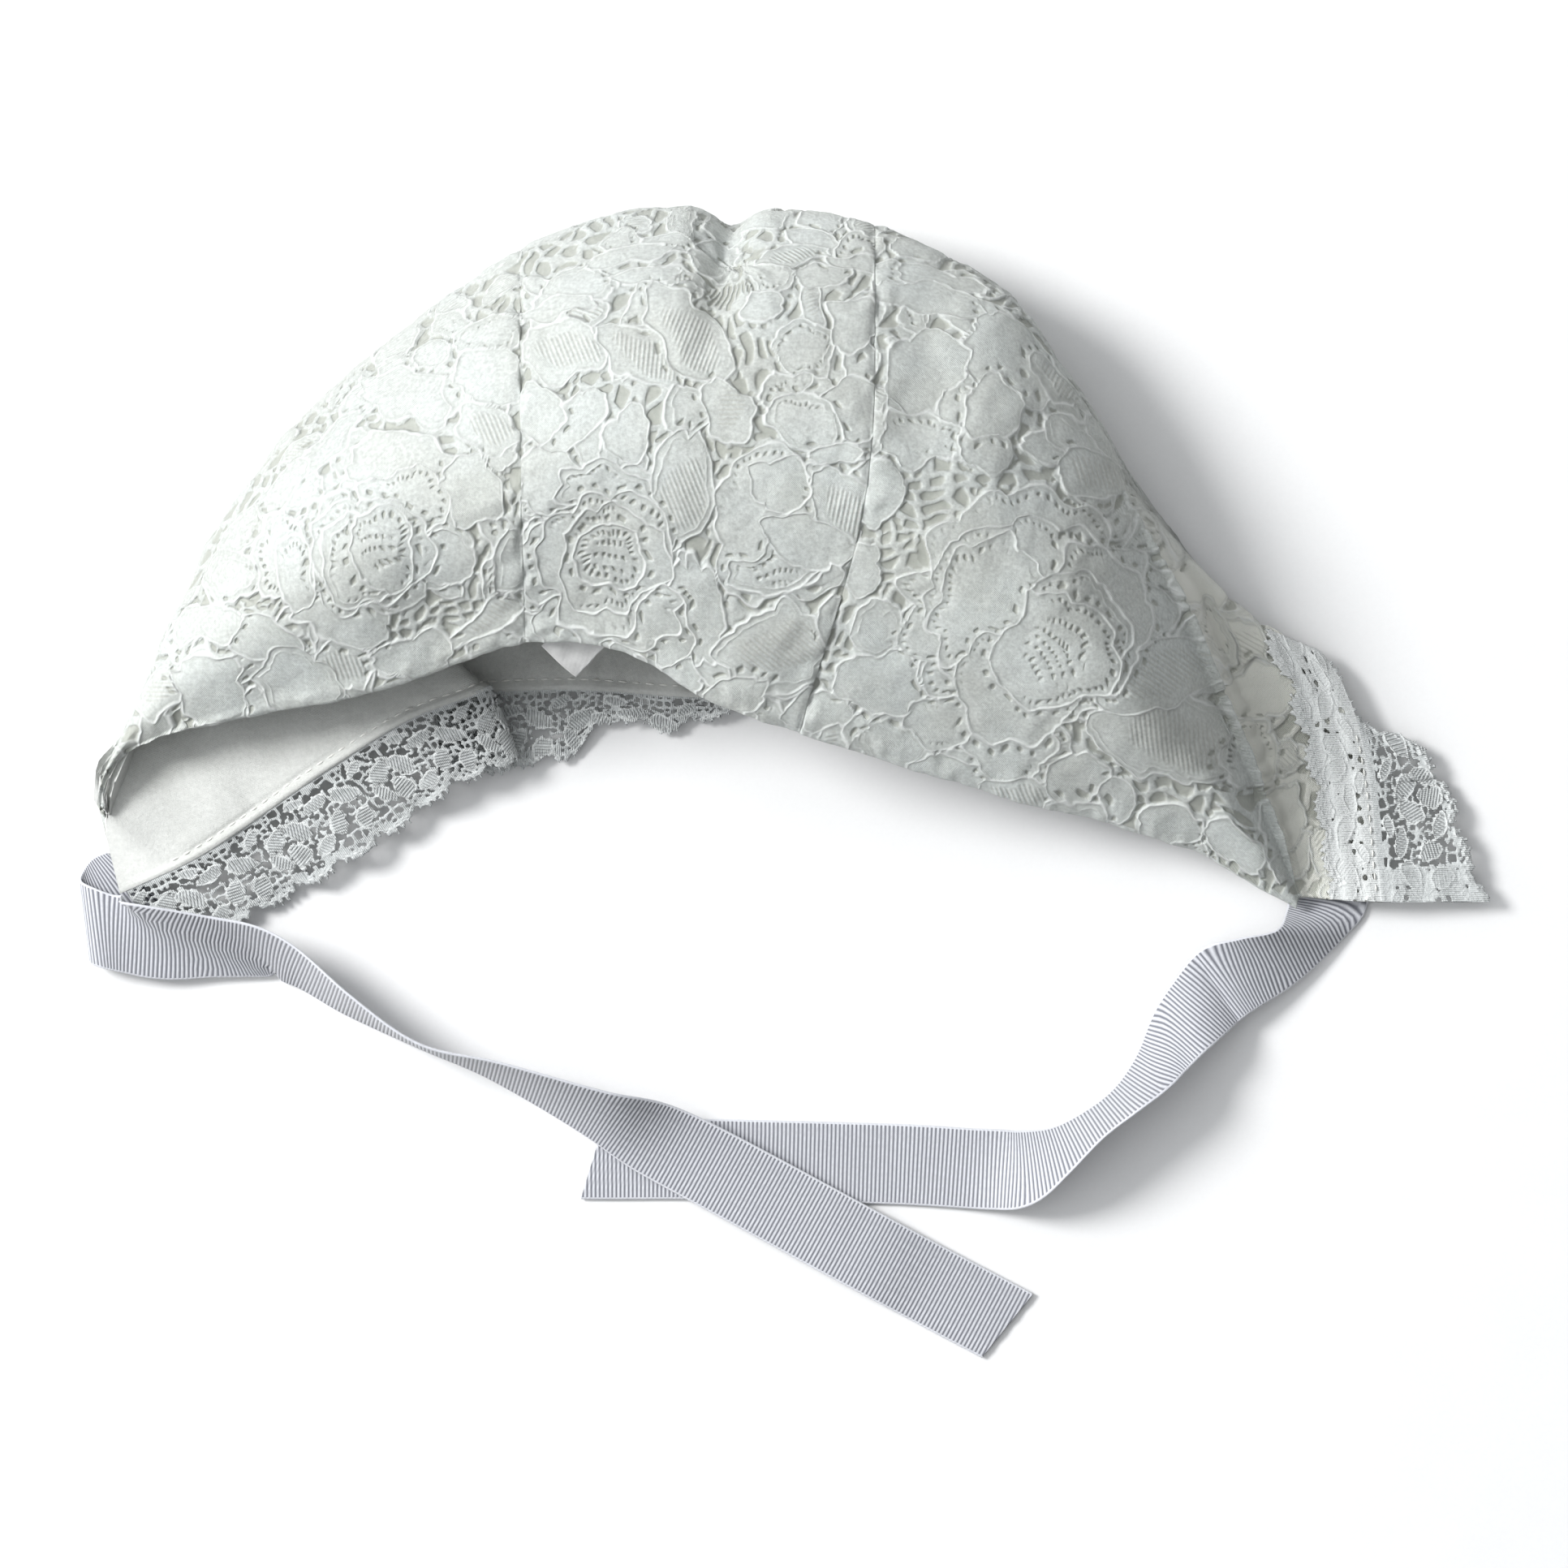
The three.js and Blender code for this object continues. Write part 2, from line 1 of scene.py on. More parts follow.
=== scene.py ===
"""A lined baby bonnet of corded lace, lying on its brow with its two ribbon ties spread out."""
import math

import bpy
import numpy as np
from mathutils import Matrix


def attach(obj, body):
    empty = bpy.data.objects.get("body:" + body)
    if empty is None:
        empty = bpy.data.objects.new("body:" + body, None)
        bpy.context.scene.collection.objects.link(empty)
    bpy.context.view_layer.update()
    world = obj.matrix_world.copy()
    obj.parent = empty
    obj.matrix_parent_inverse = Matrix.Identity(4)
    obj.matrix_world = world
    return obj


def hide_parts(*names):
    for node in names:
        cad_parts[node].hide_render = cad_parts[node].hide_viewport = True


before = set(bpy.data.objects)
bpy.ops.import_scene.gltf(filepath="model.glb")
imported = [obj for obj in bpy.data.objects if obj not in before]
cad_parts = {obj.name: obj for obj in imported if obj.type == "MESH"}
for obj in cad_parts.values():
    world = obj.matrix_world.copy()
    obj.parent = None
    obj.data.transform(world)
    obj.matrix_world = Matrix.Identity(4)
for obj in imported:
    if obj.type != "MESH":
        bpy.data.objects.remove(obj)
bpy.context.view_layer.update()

# Lengths are millimetres until a mesh is made
MM = 0.001
BONNET_PLACE = np.array([-9.547, -21.258, -0.033])
HAT_WIDTH = 252
HAT_DEPTH = 135
CROWN_HEIGHT = 62
FOLD_HEIGHT = 26
NECK_ARCH = 38
CLOTH_LIFT = 1.6
DENT_DEPTH = 5
LACE_THICKNESS = 1.0
LINING_TOP = 1.3
LINING_BOTTOM = 2.25
LEFT_SEAM = 0.37
RIGHT_SEAM = 0.59
SIDE_TRIM_START = 0.87
BROW_TRIM_END = 0.78
TRIM_DEPTH = 19
TRIM_THICKNESS = 0.55
TIE_WIDTH = 16
TIE_LENGTH = 200
TIE_THICKNESS = 0.72
RIB_PITCH = 0.82

# The photograph: its size, its scale on the floor and where the ears' line and middle fall
PHOTO_SIDE = 1932
PIXELS_PER_MM = 6.2
PHOTO_X = 908
PHOTO_Y = 1100
CAMERA_HEIGHT = 1600
MIDDLE_X = (PHOTO_SIDE / 2 - PHOTO_X) / PIXELS_PER_MM
MIDDLE_Y = (PHOTO_Y - PHOTO_SIDE / 2) / PIXELS_PER_MM

# Guide lines from the left ear (at 0) to the right ear (at 1): at, x, y, z
NECK_EDGE = np.array([
    (0.0, -0.5, 0.129, 0.16), (0.05, -0.478, 0.207, 0.34), (0.12, -0.408, 0.247, 0.5),
    (0.25, -0.277, 0.292, 0.76), (0.37, -0.162, 0.358, 0.95), (0.45, -0.085, 0.344, 1.0),
    (0.52, -0.023, 0.275, 0.95), (0.59, 0.048, 0.226, 0.82), (0.75, 0.201, 0.14, 0.55),
    (0.9, 0.348, 0.067, 0.32), (1.0, 0.44, -0.022, 0.14),
])
CROWN_LINE = np.array([
    (0.0, -0.5, 0.126, 0.09), (0.05, -0.49, 0.188, 0.2), (0.12, -0.43, 0.31, 0.4),
    (0.25, -0.303, 0.49, 0.77), (0.37, -0.163, 0.6, 0.93), (0.48, -0.05, 0.63, 1.0),
    (0.59, 0.1, 0.575, 0.98), (0.68, 0.172, 0.5, 0.94), (0.8, 0.283, 0.34, 0.79),
    (0.9, 0.357, 0.205, 0.5), (1.0, 0.441, -0.013, 0.095),
])
CROWN_FOLD = np.array([
    (0.0, -0.501, 0.121, 0.2), (0.05, -0.497, 0.165, 0.33), (0.12, -0.445, 0.376, 0.6),
    (0.18, -0.405, 0.524, 0.8), (0.25, -0.328, 0.697, 0.96), (0.37, -0.168, 0.921, 1.0),
    (0.45, -0.073, 0.983, 1.0), (0.52, 0.027, 0.981, 1.0), (0.59, 0.108, 0.957, 1.04),
    (0.68, 0.206, 0.863, 1.08), (0.75, 0.263, 0.723, 1.08), (0.82, 0.311, 0.545, 1.04),
    (0.9, 0.362, 0.354, 0.85), (0.95, 0.402, 0.179, 0.54), (1.0, 0.443, -0.006, 0.21),
])
BROW_FOLD = np.array([
    (0.0, -0.5, 0.11, 0.13), (0.05, -0.492, 0.137, 0.08), (0.12, -0.436, 0.364, 0.05),
    (0.25, -0.32, 0.675, 0.03), (0.37, -0.165, 0.885, 0.03), (0.52, 0.027, 0.94, 0.03),
    (0.59, 0.106, 0.915, 0.03), (0.68, 0.207, 0.81, 0.04), (0.75, 0.288, 0.63, 0.12),
    (0.82, 0.37, 0.464, 0.26), (0.88, 0.42, 0.366, 0.3), (0.95, 0.452, 0.203, 0.22),
    (1.0, 0.468, -0.01, 0.18),
])
# The face edge's last column is the compass direction in which the trim stands off
FACE_EDGE = np.array([
    (0.0, -0.485, 0.0, 0.03, -60), (0.05, -0.421, 0.054, 0.05, -55),
    (0.12, -0.325, 0.173, 0.16, -54), (0.17, -0.255, 0.252, 0.32, -56),
    (0.2, -0.203, 0.288, 0.37, -66), (0.215, -0.199, 0.287, 0.33, -72),
    (0.245, -0.235, 0.279, 0.28, -78), (0.26, -0.244, 0.279, 0.16, -84),
    (0.275, -0.238, 0.284, 0.03, -88), (0.31, -0.197, 0.294, 0.0, -90),
    (0.37, -0.124, 0.298, 0.0, -90), (0.45, -0.031, 0.287, 0.0, -90),
    (0.59, 0.174, 0.284, 0.0, -90), (0.68, 0.27, 0.3, 0.0, -90), (0.75, 0.345, 0.33, 0.0, -90),
    (0.82, 0.41, 0.358, 0.03, -60), (0.88, 0.462, 0.34, 0.12, 35),
    (0.95, 0.494, 0.203, 0.14, 12), (1.0, 0.507, -0.014, 0.12, 0),
])
# Places where the cloth is pushed in: at, across, half width along, half width over, y, z
DENTS = [
    (0.497, 2.0, 0.012, 0.55, -1.0, -0.3), (0.625, 1.5, 0.035, 0.35, 0.0, -0.6),
    (0.88, 2.42, 0.08, 0.24, 0.0, -0.9), (0.31, 0.6, 0.03, 0.5, 0.0, -0.3),
    (0.9, 2.3, 0.075, 0.12, 0.0, -0.5), (0.89, 1.96, 0.09, 0.1, 0.0, 0.24),
]
# How far the trim stands off, as a share of its depth: at, share
BROW_REACH = np.array([
    (0.0, 0.75), (0.06, 0.9), (0.12, 1.0), (0.19, 0.88), (0.3, 0.84), (0.36, 0.8),
    (0.39, 0.4), (0.43, 0.44), (0.47, 0.24), (0.55, 0.36), (0.65, 0.45), (0.78, 0.4),
])
SIDE_REACH = np.array([
    (0.87, 0.03), (0.93, 0.04), (0.945, 0.45), (0.965, 0.82), (0.985, 0.98), (1.0, 1.15),
])
# A tie's rulings from the ear corner: x and y in tie lengths, lift in tie widths, the
# direction of the upper edge, the slope, and the ruling's length in tie widths
LEFT_TIE = np.array([
    (0.014, 0.014, 0.04, 138, 0, 1.0), (-0.006, 0.002, 0.04, 125, 0, 1.0),
    (-0.024, -0.0145, 0.07, 109, 0, 1.02), (-0.0345, -0.027, 0.17, 98, 0, 1.02),
    (-0.024, -0.0335, 0.3, 97, 4, 1.02),
    (0.007, -0.042, 0.25, 101, 10, 1.03), (0.044, -0.045, 0.16, 137, 18, 1.5),
    (0.077, -0.046, 0.1, 151, 22, 2.06), (0.125, -0.052, 0.06, 136, 36, 1.28),
    (0.172, -0.071, 0.06, 88, 58, 1.0), (0.228, -0.111, 0.05, 70, 74, 1.0),
    (0.298, -0.151, 0.04, 66, 85, 1.0), (0.373, -0.176, 0.05, 66, 74, 1.0),
    (0.472, -0.218, 0.13, 63, 50, 1.0), (0.555, -0.256, 0.15, 62, 12, 1.0),
    (0.726, -0.348, 0.15, 62, 0, 1.0), (0.806, -0.391, 0.06, 61, 0, 1.0),
    (0.88, -0.43, 0.04, 51, 0, 1.02),
])
RIGHT_TIE = np.array([
    (-0.049, 0.025, 0.04, 180, 0, 1.0), (-0.054, -0.008, 0.04, 178, 8, 1.0),
    (-0.072, -0.032, 0.06, 172, 30, 1.0), (-0.114, -0.058, 0.16, 141, 24, 1.0),
    (-0.155, -0.078, 0.3, 124, 6, 1.0), (-0.187, -0.109, 0.22, 118, -22, 1.0),
    (-0.209, -0.136, 0.12, 116, -36, 1.0), (-0.229, -0.168, 0.06, 122, -58, 1.0),
    (-0.255, -0.196, 0.05, 126, -70, 1.0), (-0.287, -0.221, 0.05, 124, -70, 1.0),
    (-0.32, -0.246, 0.05, 112, -56, 1.0), (-0.353, -0.263, 0.05, 98, -28, 1.02),
    (-0.391, -0.265, 0.04, 91, -5, 1.0), (-0.484, -0.26, 0.04, 90, 0, 1.0),
    (-0.677, -0.255, 0.04, 89, 0, 1.0), (-0.782, -0.255, 0.04, 73, 0, 1.04),
])

# Petals and leaves of the lace as they lie in the photograph, the ones underneath first:
# x and y of the middle, half length, half width, direction, scallops and filling.
LEFT_PETALS = [
    (602, 402, 46, 32, 15, 5, "pores"), (528, 416, 24, 24, 60, 4, "plain"),
    (498, 478, 64, 38, -38, 7, "plain"), (604, 462, 44, 36, 0, 6, "plain"),
    (600, 528, 42, 26, -8, 5, "hatch"), (405, 540, 52, 20, 48, 6, "plain"),
    (345, 598, 46, 20, 52, 6, "plain"), (292, 652, 42, 26, 62, 5, "pores"),
    (498, 574, 70, 42, -10, 8, "plain"), (580, 606, 36, 48, 10, 7, "plain"),
    (280, 706, 38, 32, -20, 5, "plain"), (228, 778, 40, 22, 62, 5, "plain"),
    (312, 782, 58, 28, -18, 6, "plain"), (258, 768, 40, 26, 10, 5, "plain"),
    (600, 764, 50, 16, 32, 4, "hatch"), (632, 690, 26, 40, 5, 5, "plain"),
    (200, 850, 36, 24, 58, 5, "hatch"), (258, 846, 48, 40, 10, 6, "plain"),
    (424, 818, 42, 28, -10, 6, "hatch"), (512, 806, 50, 28, 12, 7, "plain"),
    (366, 838, 52, 42, -12, 7, "plain"), (424, 762, 62, 30, -12, 6, "plain"),
    (464, 676, 104, 82, 0, 9, "pores"), (350, 692, 36, 58, 0, 6, "pores"),
    (364, 706, 23, 46, 4, 4, "pores"), (412, 622, 20, 16, 20, 3, "plain"),
    (502, 618, 48, 44, 0, 6, "pores"), (554, 686, 36, 30, -20, 5, "plain"),
    (500, 732, 30, 20, 12, 4, "plain"), (458, 680, 68, 70, 0, 5, "pores"),
    (440, 692, 42, 58, 8, 4, "pores"), (470, 676, 42, 50, 20, 4, "heart"),
]
CENTRE_PETALS = [
    (717, 337, 46, 30, 5, 6, "plain"), (692, 430, 50, 36, -8, 5, "hatch"),
    (690, 372, 44, 18, 6, 5, "pores"), (801, 326, 42, 18, 12, 5, "plain"),
    (770, 290, 60, 16, 14, 6, "plain"), (880, 300, 34, 20, -40, 4, "plain"),
    (1012, 322, 34, 22, 10, 5, "plain"), (1096, 335, 24, 36, 0, 5, "plain"),
    (980, 286, 44, 16, 12, 5, "hatch"), (1060, 300, 40, 16, -16, 5, "plain"),
    (994, 430, 36, 34, 0, 6, "pores"), (1055, 396, 38, 34, 20, 5, "plain"),
    (940, 375, 26, 22, 30, 5, "plain"), (965, 480, 30, 20, 30, 5, "pores"),
    (1051, 503, 40, 38, 0, 6, "plain"), (989, 521, 46, 34, -38, 5, "pores"),
    (706, 524, 54, 26, 48, 5, "plain"), (660, 506, 34, 34, 0, 6, "plain"),
    (790, 437, 62, 30, -36, 5, "hatch"), (847, 412, 72, 38, -52, 5, "hatch"),
    (847, 505, 28, 30, 20, 5, "plain"), (899, 508, 34, 36, 60, 5, "hatch"),
    (675, 590, 36, 42, 0, 7, "plain"), (676, 700, 40, 48, 0, 7, "plain"),
    (700, 765, 44, 30, 10, 5, "plain"), (838, 608, 40, 78, -8, 7, "hatch"),
    (856, 750, 34, 70, 6, 8, "plain"), (822, 776, 32, 44, 10, 5, "plain"),
    (775, 534, 31, 33, 0, 5, "plain"), (760, 742, 74, 54, -20, 7, "pores"),
    (748, 604, 62, 30, -6, 6, "pores"), (745, 690, 84, 82, 0, 8, "pores"),
    (754, 690, 64, 70, 10, 5, "pores"), (752, 684, 42, 40, 0, 4, "heart"),
    (951, 648, 78, 90, 0, 5, "pores"), (956, 702, 52, 34, 8, 5, "heart"),
    (960, 596, 34, 34, 20, 5, "plain"),
    (1048, 632, 66, 36, -42, 5, "hatch"), (996, 668, 58, 30, -22, 6, "plain"),
    (1030, 560, 30, 16, 10, 4, "plain"), (955, 800, 70, 52, 20, 8, "hatch"),
    (900, 860, 50, 24, 20, 6, "plain"), (1085, 773, 38, 34, 0, 5, "plain"),
    (1026, 766, 16, 28, 0, 4, "plain"), (1000, 880, 34, 26, -30, 5, "plain"),
]
RIGHT_PETALS = [
    (1092, 322, 28, 27, 0, 5, "plain"), (1160, 332, 60, 18, -18, 6, "plain"),
    (1151, 366, 72, 24, -12, 6, "plain"), (1246, 400, 46, 18, -40, 5, "pores"),
    (1246, 444, 70, 46, -42, 6, "plain"), (1300, 470, 46, 16, -52, 4, "hatch"),
    (1134, 540, 50, 36, 0, 6, "pores"), (1216, 554, 34, 28, 0, 5, "plain"),
    (1140, 456, 52, 46, 0, 6, "plain"), (1224, 504, 32, 42, 0, 5, "plain"),
    (1322, 538, 34, 25, -12, 5, "plain"), (1347, 584, 50, 26, -14, 5, "hatch"),
    (1360, 530, 34, 20, -60, 4, "plain"), (1084, 612, 26, 40, -20, 5, "plain"),
    (1060, 700, 34, 30, 0, 5, "plain"), (1120, 905, 60, 36, 12, 7, "plain"),
    (1180, 960, 56, 26, -18, 6, "plain"), (1246, 920, 56, 40, 8, 6, "pores"),
    (1250, 975, 44, 20, -8, 5, "hatch"), (1090, 842, 54, 40, -6, 6, "plain"),
    (1084, 775, 34, 34, 0, 5, "plain"), (1160, 823, 24, 34, 0, 4, "plain"),
    (1162, 890, 50, 34, 0, 6, "pores"), (1274, 752, 156, 146, 8, 13, "pores"),
    (1262, 760, 128, 116, 0, 11, "pores"), (1442, 908, 92, 56, -22, 9, "hatch"),
    (1426, 834, 74, 44, 24, 5, "hatch"), (1353, 758, 64, 84, 8, 8, "pores"),
    (1220, 744, 84, 66, 40, 8, "pores"), (1252, 848, 72, 74, 0, 6, "pores"),
    (1330, 772, 60, 66, 20, 5, "pores"), (1302, 803, 72, 72, -52, 5, "heart"),
    (1328, 957, 34, 34, 0, 5, "plain"), (1378, 985, 22, 24, 0, 4, "plain"),
    (1442, 1016, 40, 26, 0, 6, "plain"), (1330, 1005, 40, 20, -14, 5, "plain"),
    (1476, 720, 40, 32, -52, 5, "plain"), (1450, 660, 34, 20, -56, 4, "plain"),
    (1530, 800, 30, 46, 30, 5, "hatch"), (1552, 852, 46, 36, 20, 7, "plain"),
    (1500, 780, 22, 40, 20, 5, "pores"), (1540, 930, 44, 34, 60, 6, "pores"),
    (1580, 1010, 44, 28, 80, 6, "plain"), (1520, 1040, 44, 22, -30, 5, "plain"),
]
# Patches of bar net between the petals: x, y, half length, half width, direction, and the
# length and width of one mesh
NETS = [
    (1200, 615, 130, 46, 4, 24, 13), (1420, 975, 100, 40, -8, 22, 12),
    (1495, 985, 60, 40, -8, 26, 14), (1380, 480, 30, 60, -60, 12, 12),
    (690, 480, 46, 26, 60, 16, 12), (880, 560, 60, 70, 80, 24, 13),
    (905, 700, 24, 130, 0, 30, 14), (960, 560, 52, 36, 10, 22, 16),
    (930, 690, 60, 70, 70, 26, 14), (470, 498, 34, 20, 30, 16, 10),
    (560, 544, 50, 14, 10, 16, 9), (590, 590, 30, 40, 60, 14, 9),
    (545, 760, 70, 16, 14, 14, 9), (300, 745, 40, 12, 0, 14, 9),
    (1085, 690, 44, 40, 10, 18, 12), (1040, 800, 40, 70, 70, 18, 12),
    (1560, 1000, 60, 30, -6, 34, 12), (880, 880, 40, 16, 30, 18, 10),
]
NOTCH = (908, 296)
NOTCH_NET_FROM = 30
NOTCH_NET_TO = 200


def hermite(places, values, at, never_past=False):
    """A smooth value at each place, row by row; never_past keeps it from swinging past."""
    secants = np.diff(values, axis=1) / np.diff(places, axis=1)
    slopes = np.empty_like(values)
    slopes[:, 0] = secants[:, 0]
    slopes[:, -1] = secants[:, -1]
    if never_past:
        product = secants[:, :-1] * secants[:, 1:]
        total = secants[:, :-1] + secants[:, 1:]
        safe_total = np.where(total == 0, 1, total)
        slopes[:, 1:-1] = np.where(product > 0, 2 * product / safe_total, 0)
    else:
        slopes[:, 1:-1] = (values[:, 2:] - values[:, :-2]) / (places[:, 2:] - places[:, :-2])
    k = np.sum(at[:, :, None] > places[:, None, 1:-1], axis=2)
    rows = np.arange(len(places))[:, None]
    start, end = places[rows, k], places[rows, k + 1]
    low, high = values[rows, k], values[rows, k + 1]
    span = end - start
    t = (at - start) / span
    leave = t * (1 - t) ** 2 * span * slopes[rows, k]
    arrive = t ** 2 * (t - 1) * span * slopes[rows, k + 1]
    return low + (high - low) * t ** 2 * (3 - 2 * t) + leave + arrive


def column(table, number, at, never_past=False):
    """A table's column read smoothly at the places given."""
    at = np.asarray(at, float)
    found = hermite(table[None, :, 0], table[None, :, number], at[None, :], never_past)
    return found[0]


def guide_line(table, at, height, floor=0.0):
    x = column(table, 1, at) * HAT_WIDTH
    y = column(table, 2, at) * HAT_DEPTH
    z = column(table, 3, at, never_past=True) * height + floor
    return np.stack([x, y, z], axis=1)


def hat_surface(at, across):
    """The hat's outer face: across is 0 at the neck edge, 2 on the crown fold, 4 at the face."""
    at = np.asarray(at, float)
    across = np.asarray(across, float)
    if across.ndim == 1:
        across = np.broadcast_to(across, (len(at), len(across)))
    knots = np.stack([
        guide_line(NECK_EDGE, at, NECK_ARCH),
        guide_line(CROWN_LINE, at, CROWN_HEIGHT),
        guide_line(CROWN_FOLD, at, FOLD_HEIGHT),
        guide_line(BROW_FOLD, at, FOLD_HEIGHT),
        guide_line(FACE_EDGE, at, FOLD_HEIGHT, CLOTH_LIFT),
    ], axis=1)
    chords = np.linalg.norm(np.diff(knots, axis=1), axis=2)
    lengths = np.concatenate([np.zeros((len(at), 1)), np.cumsum(chords, axis=1)], axis=1)
    k = np.clip(np.floor(across).astype(int), 0, 3)
    rows = np.arange(len(at))[:, None]
    place = lengths[rows, k] + (across - k) * (lengths[rows, k + 1] - lengths[rows, k])
    found = np.stack([
        hermite(lengths, knots[:, :, 0], place),
        hermite(lengths, knots[:, :, 1], place),
        hermite(lengths, knots[:, :, 2], place, never_past=True),
    ], axis=2)
    for spot, over, half_along, half_over, y, z in DENTS:
        aside = (at[:, None] - spot) / half_along
        away = (across - over) / half_over
        depth = DENT_DEPTH * np.exp(-aside ** 2 - away ** 2)
        found[:, :, 1] += y * depth
        found[:, :, 2] += z * depth
    return found


def unit(vectors):
    size = np.linalg.norm(vectors, axis=-1, keepdims=True)
    return vectors / np.maximum(size, 1e-9)


def outward(at, across):
    """The direction out of the hat at each of its places."""
    step = 1e-3
    a = np.clip(np.asarray(at, float), step, 1 - step)
    b = np.clip(np.asarray(across, float), step, 4 - step)
    along_hat = hat_surface(a + step, b) - hat_surface(a - step, b)
    across_hat = hat_surface(a, b + step) - hat_surface(a, b - step)
    return unit(np.cross(along_hat, across_hat))


FINE_STOPS = 400


def hat_line(at, across):
    """The hat's places that lie equally far across it."""
    return hat_surface(at, np.array([across]))[:, 0]


def travel_of(line):
    """How far along a line each of its points is."""
    return np.concatenate([[0], np.cumsum(np.linalg.norm(np.diff(line, axis=0), axis=1))])


def read_points(wanted, places, points):
    """Points or directions along a line, read at the places wanted."""
    return np.stack([np.interp(wanted, places, points[:, k]) for k in range(3)], axis=-1)


def even_stops(start, end, count, across):
    """Places along the hat from start to end that are evenly spaced on the cloth."""
    fine = np.linspace(start, end, FINE_STOPS)
    travel = travel_of(hat_line(fine, across))
    return np.interp(np.linspace(0, travel[-1], count + 1), travel, fine)


def across_stops(parts):
    """Places across the hat: each part is where it starts, where it ends and its cells."""
    stops = [parts[0][0]]
    for start, end, cells in parts:
        stops.extend(start + (end - start) * (i + 1) / cells for i in range(cells))
    return np.array(stops)


def photo_place(points):
    """Where points of the hat fall in the photograph."""
    zoom = PIXELS_PER_MM * CAMERA_HEIGHT / (CAMERA_HEIGHT - points[..., 2])
    return np.stack([
        PHOTO_SIDE / 2 + (points[..., 0] - MIDDLE_X) * zoom,
        PHOTO_SIDE / 2 - (points[..., 1] - MIDDLE_Y) * zoom,
    ], axis=-1)


def eased(value, start, end):
    share = np.clip((value - start) / (end - start), 0, 1)
    return share * share * (3 - 2 * share)


def cloth_places(points, across, at):
    """The lace pattern's own coordinates: laid on from above, and unrolled round the crown
    fold. Past the right ear's crease the cloth faces up again, so it unrolls later there."""
    flat = photo_place(points)
    unroll_from = 1.5 + 0.35 * eased(at, 0.55, 0.7) + 1.2 * eased(at, 0.78, 0.88)
    far = np.searchsorted(across, unroll_from)
    rows = np.arange(len(at))
    direction = unit(flat[rows, far + 1] - flat[rows, far - 1])[:, None]
    seen = np.diff(flat, axis=1)
    real = np.linalg.norm(np.diff(points, axis=1), axis=2)[:, :, None] * PIXELS_PER_MM * direction
    share = eased(across[None, :-1], unroll_from[:, None], unroll_from[:, None] + 0.12)[:, :, None]
    steps = seen * (1 - share) + real * share
    return np.concatenate([flat[:, :1], flat[:, :1] + np.cumsum(steps, axis=1)], axis=1)


def ripple(x, y, length, seed):
    """A soft uneven surface from -1 to 1, its swells about as long as length."""
    total = np.zeros_like(x)
    for i in range(7):
        turn = 2.399 * i + seed
        wave = length * (0.7 + 0.13 * ((i * 3 + seed) % 5))
        total += np.sin(2 * np.pi * (x * np.cos(turn) + y * np.sin(turn)) / wave + 1.7 * i * seed)
    return total / 4.2


def scatter(i, j, seed):
    """A number from 0 to 1 for each cell, the same every time."""
    value = np.sin(i * 127.1 + j * 311.7 + seed * 74.7) * 43758.5453
    return value - np.floor(value)


def net_gap(u, v, seed):
    """How far each place is from the nearest bar of a net whose meshes are one unit wide."""
    i0, j0 = np.floor(u), np.floor(v)
    first = np.full(u.shape, 9.0)
    second = np.full(u.shape, 9.0)
    for di in (-1, 0, 1):
        for dj in (-1, 0, 1):
            i, j = i0 + di, j0 + dj
            x = i + 0.2 + 0.6 * scatter(i, j, seed)
            y = j + 0.2 + 0.6 * scatter(i, j, seed + 3)
            away = np.hypot(u - x, v - y)
            second = np.minimum(np.maximum(first, away), second)
            first = np.minimum(first, away)
    return (second - first) / 2


def turned(x, y, aim):
    """Coordinates along and across a direction, for y that runs down the photograph."""
    a = math.radians(aim)
    return x * math.cos(a) - y * math.sin(a), -x * math.sin(a) - y * math.cos(a)


def petal_edge(u, v, long, wide, scallops, number):
    """Distance outside a petal's edge, and the angle round its middle."""
    angle = np.arctan2(v / wide, u / long)
    size = np.hypot(u / long, v / wide)
    edge = 1 + 0.07 * np.cos(2 * angle + 1.9 * number) + 0.06 * np.cos(3 * angle + 2.7 * number)
    wobble = scallops * angle / 2 + number + 0.35 * np.sin(2 * angle + number)
    edge += 0.13 * (np.abs(np.cos(wobble)) - 0.62)
    edge += 0.022 * np.sin(11 * angle + 5.1 * number) + 0.012 * np.sin(19 * angle + number)
    steepness = np.hypot(u / long ** 2, v / wide ** 2) / np.maximum(size, 1e-3)
    return (size - edge) / np.maximum(steepness, 1e-6), angle


CORD_REACH = 12.0
PORE_INSET = 10
PORE_PITCH = 10
HATCH_PITCH = 5.6
NET_EASE = 1.25
GROUND_AIM = 68
GROUND_MESH = (36, 20)


